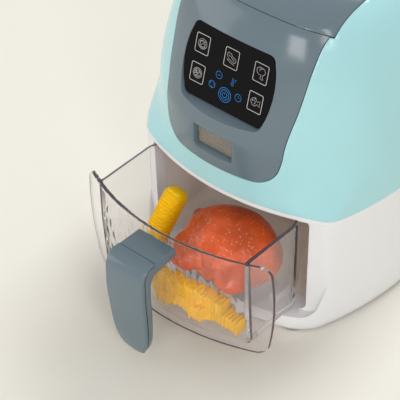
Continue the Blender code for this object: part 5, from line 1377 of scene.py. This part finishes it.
class FRYER_OT_handle(bpy.types.Operator):
    """Build the handle's rear half and its front cover"""
    bl_idname = "fryer.handle"
    bl_label = "Handle"

    def execute(self, context):
        rows = handle_stations(HANDLE_SHARES, 64)
        rings = [station_ring(handle_point(*row[:2]), handle_point(*row[2:]), HANDLE_HALF_WIDTH,
                              HANDLE_REAR_EDGE, 0.0, STUB_SHOULDER) for row in STUB_SHARES]
        cover = []
        for reach, height, inner_reach, inner_height, front_reach, front_height, width in rows:
            seam = handle_point(reach, height)
            inner = handle_point(inner_reach, inner_height)
            half_width = HANDLE_HALF_WIDTH * width
            step_back = (inner - seam).normalized() * HANDLE_SEAM
            rings.append(station_ring(seam + step_back, inner, half_width, HANDLE_REAR_EDGE, 0.0))
            cover.append(station_ring(seam, handle_point(front_reach, front_height), half_width,
                                      HANDLE_FRONT_EDGE, HANDLE_CROWN))
        grip = new_object("handle_rear_half", loft(rings))
        soften(grip, HANDLE_LIP, 2, 50.0)
        dress(grip, slate_look(), "drawer", "slate_plastic", "handle_grip")
        front = new_object("handle_cover", loft(cover))
        soften(front, HANDLE_LIP, 2, 60.0)
        dress(front, slate_look(), "drawer", "slate_plastic", "handle_front_cover")
        return {"FINISHED"}


def lump(centre, radii, turn=(0.0, 0.0, 0.0)):
    """A rounded lump as an object."""
    bm = bmesh.new()
    place = Matrix.Translation(centre)
    for axis, angle in zip("XYZ", turn):
        place = place @ Matrix.Rotation(angle, 4, axis)
    bmesh.ops.create_uvsphere(bm, u_segments=48, v_segments=28, radius=1.0,
                              matrix=place @ Matrix.Diagonal((*radii, 1.0)))
    return new_object("lump", bm)


def melt(item, voxel, rounds):
    """Blend an object's joined forms into one smooth skin."""
    step = item.modifiers.new("remesh", "REMESH")
    step.mode = "VOXEL"
    step.voxel_size = voxel
    apply_modifiers(item)
    with shape_of(item) as bm:
        for _ in range(rounds):
            bmesh.ops.smooth_vert(bm, verts=bm.verts, factor=0.5, use_axis_x=True, use_axis_y=True,
                                  use_axis_z=True)


def skin_look(colour):
    """Roast skin: browned patches and fine pale dots that are painted highlight specks."""
    found = bpy.data.materials.get("chicken_skin")
    if found:
        return found
    made = finish("chicken_skin", colour, 0.36, 0.5, 800.0, 0.5, Specular_IOR_Level=0.4)
    tree = made.node_tree
    shader, surface = tree.nodes["Principled BSDF"], tree.nodes["Group"]
    place = add_node(tree, "TexCoord").outputs["Object"]
    patches = add_node(tree, "TexNoise", {"Scale": 70.0, "Detail": 4.0}, {"Vector": place})
    depth = add_node(tree, "MapRange", {"From Min": 0.35, "From Max": 0.65},
                     {"Value": patches.outputs["Fac"]})
    browned = add_node(tree, "Mix", {"A": (*[part * 0.80 for part in colour], 1.0),
                                     "B": (*[part * 1.15 for part in colour], 1.0)},
                       {"Factor": depth.outputs["Result"]}, data_type="RGBA")
    tree.links.new(browned.outputs["Result"], surface.inputs["Colour"])
    # Pale dots over the skin: painted highlight specks.
    glint_cells = add_node(tree, "TexVoronoi", {"Scale": 420.0}, {"Vector": place})
    glint_dots = add_node(tree, "MapRange", {"From Min": 0.16, "From Max": 0.28, "To Min": 0.55, "To Max": 0.0},
                    {"Value": glint_cells.outputs["Distance"]})
    with_painted_glints = add_node(tree, "Mix", {"B": (0.75, 0.30, 0.14, 1.0)},
                        {"Factor": glint_dots.outputs["Result"], "A": surface.outputs["Colour"]}, data_type="RGBA")
    tree.links.new(with_painted_glints.outputs["Result"], shader.inputs["Base Color"])
    return made


class FRYER_OT_chicken(bpy.types.Operator):
    """Build the roast chicken"""
    bl_idname = "fryer.chicken"
    bl_label = "Roast Chicken"

    def execute(self, context):
        x, y = CHICKEN_CENTRE
        rx, ry, rz = CHICKEN_RADII
        z = FOOD_FLOOR + rz
        chicken = lump((x, y, z), (rx, ry, rz - 0.0010))
        chicken.name = "roast_chicken_skin"
        neck = [centre + shift for centre, shift in zip((x, y, z), NECK_PLACE)]
        parts = [lump(neck, NECK_RADII, (0.0, 0.4, 0.3))]
        for side in (-1.0, 1.0):
            hip = (x + side * LEG_X, y + LEG_SHARES[0] * ry, z + LEG_SHARES[1] * rz)
            parts.append(lump(hip, LEG_RADII, (0.25, 0.0, side * 0.2)))
        carve(chicken, *parts, operation="UNION")
        melt(chicken, SKIN_GRAIN, 8)
        with shape_of(chicken) as bm:
            for vert in bm.verts:
                p = vert.co
                below = min(max((z - p.z) / rz, 0.0), 1.0)
                narrow = 1.0 - 0.22 * below - 0.36 * below * below
                p.x = x + (p.x - x) * narrow
                p.y = y + FRAME_Y + (p.y - y - FRAME_Y) * narrow
                relief = sum(noise.noise(p * rate) * depth for rate, depth in SKIN_NOISE)
                vert.co = p + vert.normal * (relief - SKIN_SINK)
        dress(chicken, skin_look(context.scene.fryer_food.chicken), "drawer", "chicken_plastic",
              "roast_chicken", sharp=180.0)
        return {"FINISHED"}


def crinkled_bar(foot, top, half_width, round_share, ridge, wave, end_radius):
    """A square bar with rounded edges and ridges across it, as a bmesh."""
    along = (top - foot).normalized()
    across = along.cross(Vector((0.0, 1.0, 0.02))).normalized()
    deep = along.cross(across)
    length = (top - foot).length
    ridges = round(length / ridge)
    steps = ridges * 8
    rings = []
    for k in range(steps + 1):
        share = k / steps
        end = min(share, 1.0 - share) * length
        taper = math.sqrt(max(1.0 - (1.0 - min(end / end_radius, 1.0)) ** 2, 0.0))
        swell = wave * (0.5 - 0.5 * math.cos(math.tau * ridges * share))
        half = (half_width + swell) * (0.30 + 0.70 * taper)
        rings.append([foot.lerp(top, share) + across * u + deep * v
                      for u, v in rectangle(half, -half, half, half * round_share, 7)])
    return loft(rings)


class FRYER_OT_crinkle_fry(bpy.types.Operator):
    """Build the crinkle-cut fry"""
    bl_idname = "fryer.crinkle_fry"
    bl_label = "Crinkle Fry"

    def execute(self, context):
        settings = context.scene.fryer_food
        bar = crinkled_bar(Vector(CRINKLE_FOOT), Vector(CRINKLE_TOP), CRINKLE_HALF_WIDTH, 0.62,
                           settings.ridge, CRINKLE_WAVE, CRINKLE_END)
        fry = new_object("crinkle_fry_skin", bar)
        look = finish("crinkle_yellow", settings.crinkle, 0.42, 0.35, 900.0, 0.3, Specular_IOR_Level=0.25)
        dress(fry, look, "drawer", "fry_plastic", "crinkle_fry", sharp=60.0)
        return {"FINISHED"}


class FRYER_OT_fries(bpy.types.Operator):
    """Build the portion of fries"""
    bl_idname = "fryer.fries"
    bl_label = "Portion of Fries"

    def execute(self, context):
        low = FOOD_FLOOR + FRY_WIDTH / 2.0
        bars = []
        for i in range(FRY_COUNT):
            bars.append((FRY_START_X + i * FRY_PITCH, low, FRY_TURN if i % 2 else -FRY_TURN))
        for i in range(2):
            bars.append((FRY_START_X + (2 * i + 1) * FRY_PITCH, low + FRY_WIDTH - FRY_BITE,
                         FRY_TURN * (1 - 2 * i) / 2.0))
        parts = []
        for x, height, turn in bars:
            y = (PANEL_FRONT_Y + panel_setback(TRAY_BOTTOM) + panel_arc_y(x, PANEL_THICKNESS) + FRY_SETBACK)
            reach = Vector((FRY_LENGTH / 2.0, 0.0, 0.0))
            bm = crinkled_bar(-reach, reach, FRY_WIDTH / 2.0 - FRY_WAVE, 0.25, FRY_RIDGE, FRY_WAVE, FRY_END)
            place = (Matrix.Translation((x, y, height))
                     @ Matrix.Rotation(turn + math.asin(x / PANEL_RADIUS), 4, "Z"))
            parts.append(new_object("fry", bm, place))
        portion = parts[0]
        portion.name = "fries_portion_skin"
        carve(portion, *parts[1:], operation="UNION")
        look = finish("fries_yellow", context.scene.fryer_food.fries, 0.5, 0.4, 700.0, 0.4,
                      Specular_IOR_Level=0.3)
        dress(portion, look, "drawer", "fry_plastic", "fries_portion", sharp=50.0)
        return {"FINISHED"}


class FRYER_OT_feet(bpy.types.Operator):
    """Build the four rubber feet"""
    bl_idname = "fryer.feet"
    bl_label = "Feet"

    def execute(self, context):
        rubber = finish("soft_rubber", (0.20, 0.205, 0.21), 0.75, 0.2, 1500.0, 0.4)
        for corner in ("front_left", "front_right", "rear_left", "rear_right"):
            low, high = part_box("foot_" + corner)
            centre = ((low.x + high.x) / 2.0, (low.y + high.y) / 2.0 - FRAME_Y)
            radius = (high.x - low.x) / 2.0
            rings = [[(x, y, low.z + (high.z - low.z) * level) for x, y in circle(radius * share, 36, centre)]
                     for share, level in FOOT_PROFILE]
            dress(new_object("rubber_foot_" + corner, loft(rings)), rubber, "housing", "soft_rubber",
                  "foot_" + corner)
        return {"FINISHED"}


WHITE_PARTS = ("base_plate", "battery_door", "battery_tray")
STEEL = ("bright_steel", (0.62, 0.62, 0.62), 0.30)
KEPT_LOOKS = {
    "screw": STEEL,
    "battery_contact": STEEL,
    "battery_cell": ("cell_wrap", (0.10, 0.10, 0.11), 0.35),
    "keypad_mat": ("mat_rubber", (0.30, 0.31, 0.32), 0.80),
    "circuit_board": ("board_green", (0.02, 0.16, 0.07), 0.45),
    "speaker": ("speaker_black", (0.03, 0.03, 0.03), 0.50),
    "indicator_led": ("led_blue", (0.02, 0.20, 0.60), 0.20),
}


class FRYER_OT_inner_parts(bpy.types.Operator):
    """Finish the parts that are kept from the fixed frame"""
    bl_idname = "fryer.inner_parts"
    bl_label = "Kept Parts"

    def execute(self, context):
        for name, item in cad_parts.items():
            look = next((KEPT_LOOKS[word] for word in KEPT_LOOKS if word in name), None)
            if look:
                made = finish(*look, 0.2, 900.0, 0.1, Metallic=float(look is STEEL))
            elif any(word in name for word in WHITE_PARTS):
                made = white_look()
            else:
                continue
            for slot_index in range(len(item.data.materials)):
                item.data.materials[slot_index] = made
        return {"FINISHED"}


class FRYER_OT_stage(bpy.types.Operator):
    """Set the floor, lamps, world and camera"""
    bl_idname = "fryer.stage"
    bl_label = "Stage"

    def execute(self, context):
        scene = context.scene
        settings = scene.fryer_stage
        bm = bmesh.new()
        bmesh.ops.create_grid(bm, x_segments=8, y_segments=8, size=FLOOR_HALF_WIDTH)
        mesh = bpy.data.meshes.new("floor")
        bm.to_mesh(mesh)
        bm.free()
        floor = bpy.data.objects.new("floor", mesh)
        scene.collection.objects.link(floor)
        mesh.materials.append(finish("floor_paper", settings.floor, 0.85, 0.02, 300.0, 0.1))

        world = bpy.data.worlds.new("studio")
        scene.world = world
        world.use_nodes = True
        tree = world.node_tree
        light = tree.nodes["Background"]
        light.inputs["Color"].default_value = (1.0, 1.0, 1.0, 1.0)
        light.inputs["Strength"].default_value = settings.ambient
        backdrop = add_node(tree, "Background", {"Color": (*settings.floor, 1.0)})
        for_ray(tree, "Is Camera Ray", light, backdrop, "World Output")

        target = Vector(VIEW_TARGET)
        for name, setting, share, place, wide, high in LAMPS:
            lamp = bpy.data.lights.new(name, "AREA")
            lamp.shape = "RECTANGLE"
            lamp.size = wide
            lamp.size_y = high
            lamp.energy = getattr(settings, setting) * share
            holder = bpy.data.objects.new(name, lamp)
            holder.location = place
            holder.rotation_euler = (target - Vector(place)).to_track_quat("-Z", "Y").to_euler()
            scene.collection.objects.link(holder)

        azimuth, elevation = settings.azimuth, settings.elevation
        back = Vector((math.sin(azimuth) * math.cos(elevation), -math.cos(azimuth) * math.cos(elevation),
                       math.sin(elevation)))
        right = Vector((math.cos(azimuth), math.sin(azimuth), 0.0))
        up = back.cross(right)
        across = right * math.cos(settings.roll) + up * math.sin(settings.roll)
        upright = back.cross(across)
        camera = bpy.data.cameras.new("camera")
        camera.lens = settings.lens
        camera.sensor_width = SENSOR_WIDTH
        camera.clip_start = 0.05
        camera.clip_end = 30.0
        holder = bpy.data.objects.new("camera", camera)
        turn = Matrix((across, upright, back)).transposed().to_4x4()
        holder.matrix_world = Matrix.Translation(target + back * settings.distance) @ turn
        scene.collection.objects.link(holder)
        scene.camera = holder
        scene.view_settings.view_transform = "Standard"
        return {"FINISHED"}


OPERATORS = (
    FRYER_OT_stage,
    FRYER_OT_lower_body,
    FRYER_OT_bay,
    FRYER_OT_upper_shell,
    FRYER_OT_control_panel,
    FRYER_OT_top_cover,
    FRYER_OT_lens,
    FRYER_OT_prints,
    FRYER_OT_display,
    FRYER_OT_drawer,
    FRYER_OT_handle,
    FRYER_OT_chicken,
    FRYER_OT_crinkle_fry,
    FRYER_OT_fries,
    FRYER_OT_feet,
    FRYER_OT_inner_parts,
)


class FRYER_PT_panel(bpy.types.Panel):
    """Sizes, colours and building steps of the toy air fryer"""
    bl_idname = "FRYER_PT_panel"
    bl_label = "Toy Air Fryer"
    bl_space_type = "VIEW_3D"
    bl_region_type = "UI"
    bl_category = "Air Fryer"

    def draw(self, context):
        for name, group in SETTINGS.items():
            box = self.layout.box()
            box.label(text=name.split("_")[1].title())
            settings = getattr(context.scene, name)
            for label in group.__annotations__:
                box.prop(settings, label)
        for operator in OPERATORS:
            self.layout.operator(operator.bl_idname)


def register():
    for name, group in SETTINGS.items():
        bpy.utils.register_class(group)
        setattr(bpy.types.Scene, name, PointerProperty(type=group))
    for operator in OPERATORS:
        bpy.utils.register_class(operator)
    bpy.utils.register_class(FRYER_PT_panel)


def unregister():
    bpy.utils.unregister_class(FRYER_PT_panel)
    for operator in reversed(OPERATORS):
        bpy.utils.unregister_class(operator)
    for name, group in reversed(SETTINGS.items()):
        delattr(bpy.types.Scene, name)
        bpy.utils.unregister_class(group)


def main():
    """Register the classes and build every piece."""
    register()
    for operator in OPERATORS:
        category, name = operator.bl_idname.split(".")
        getattr(getattr(bpy.ops, category), name)()


if __name__ == "__main__":
    main()
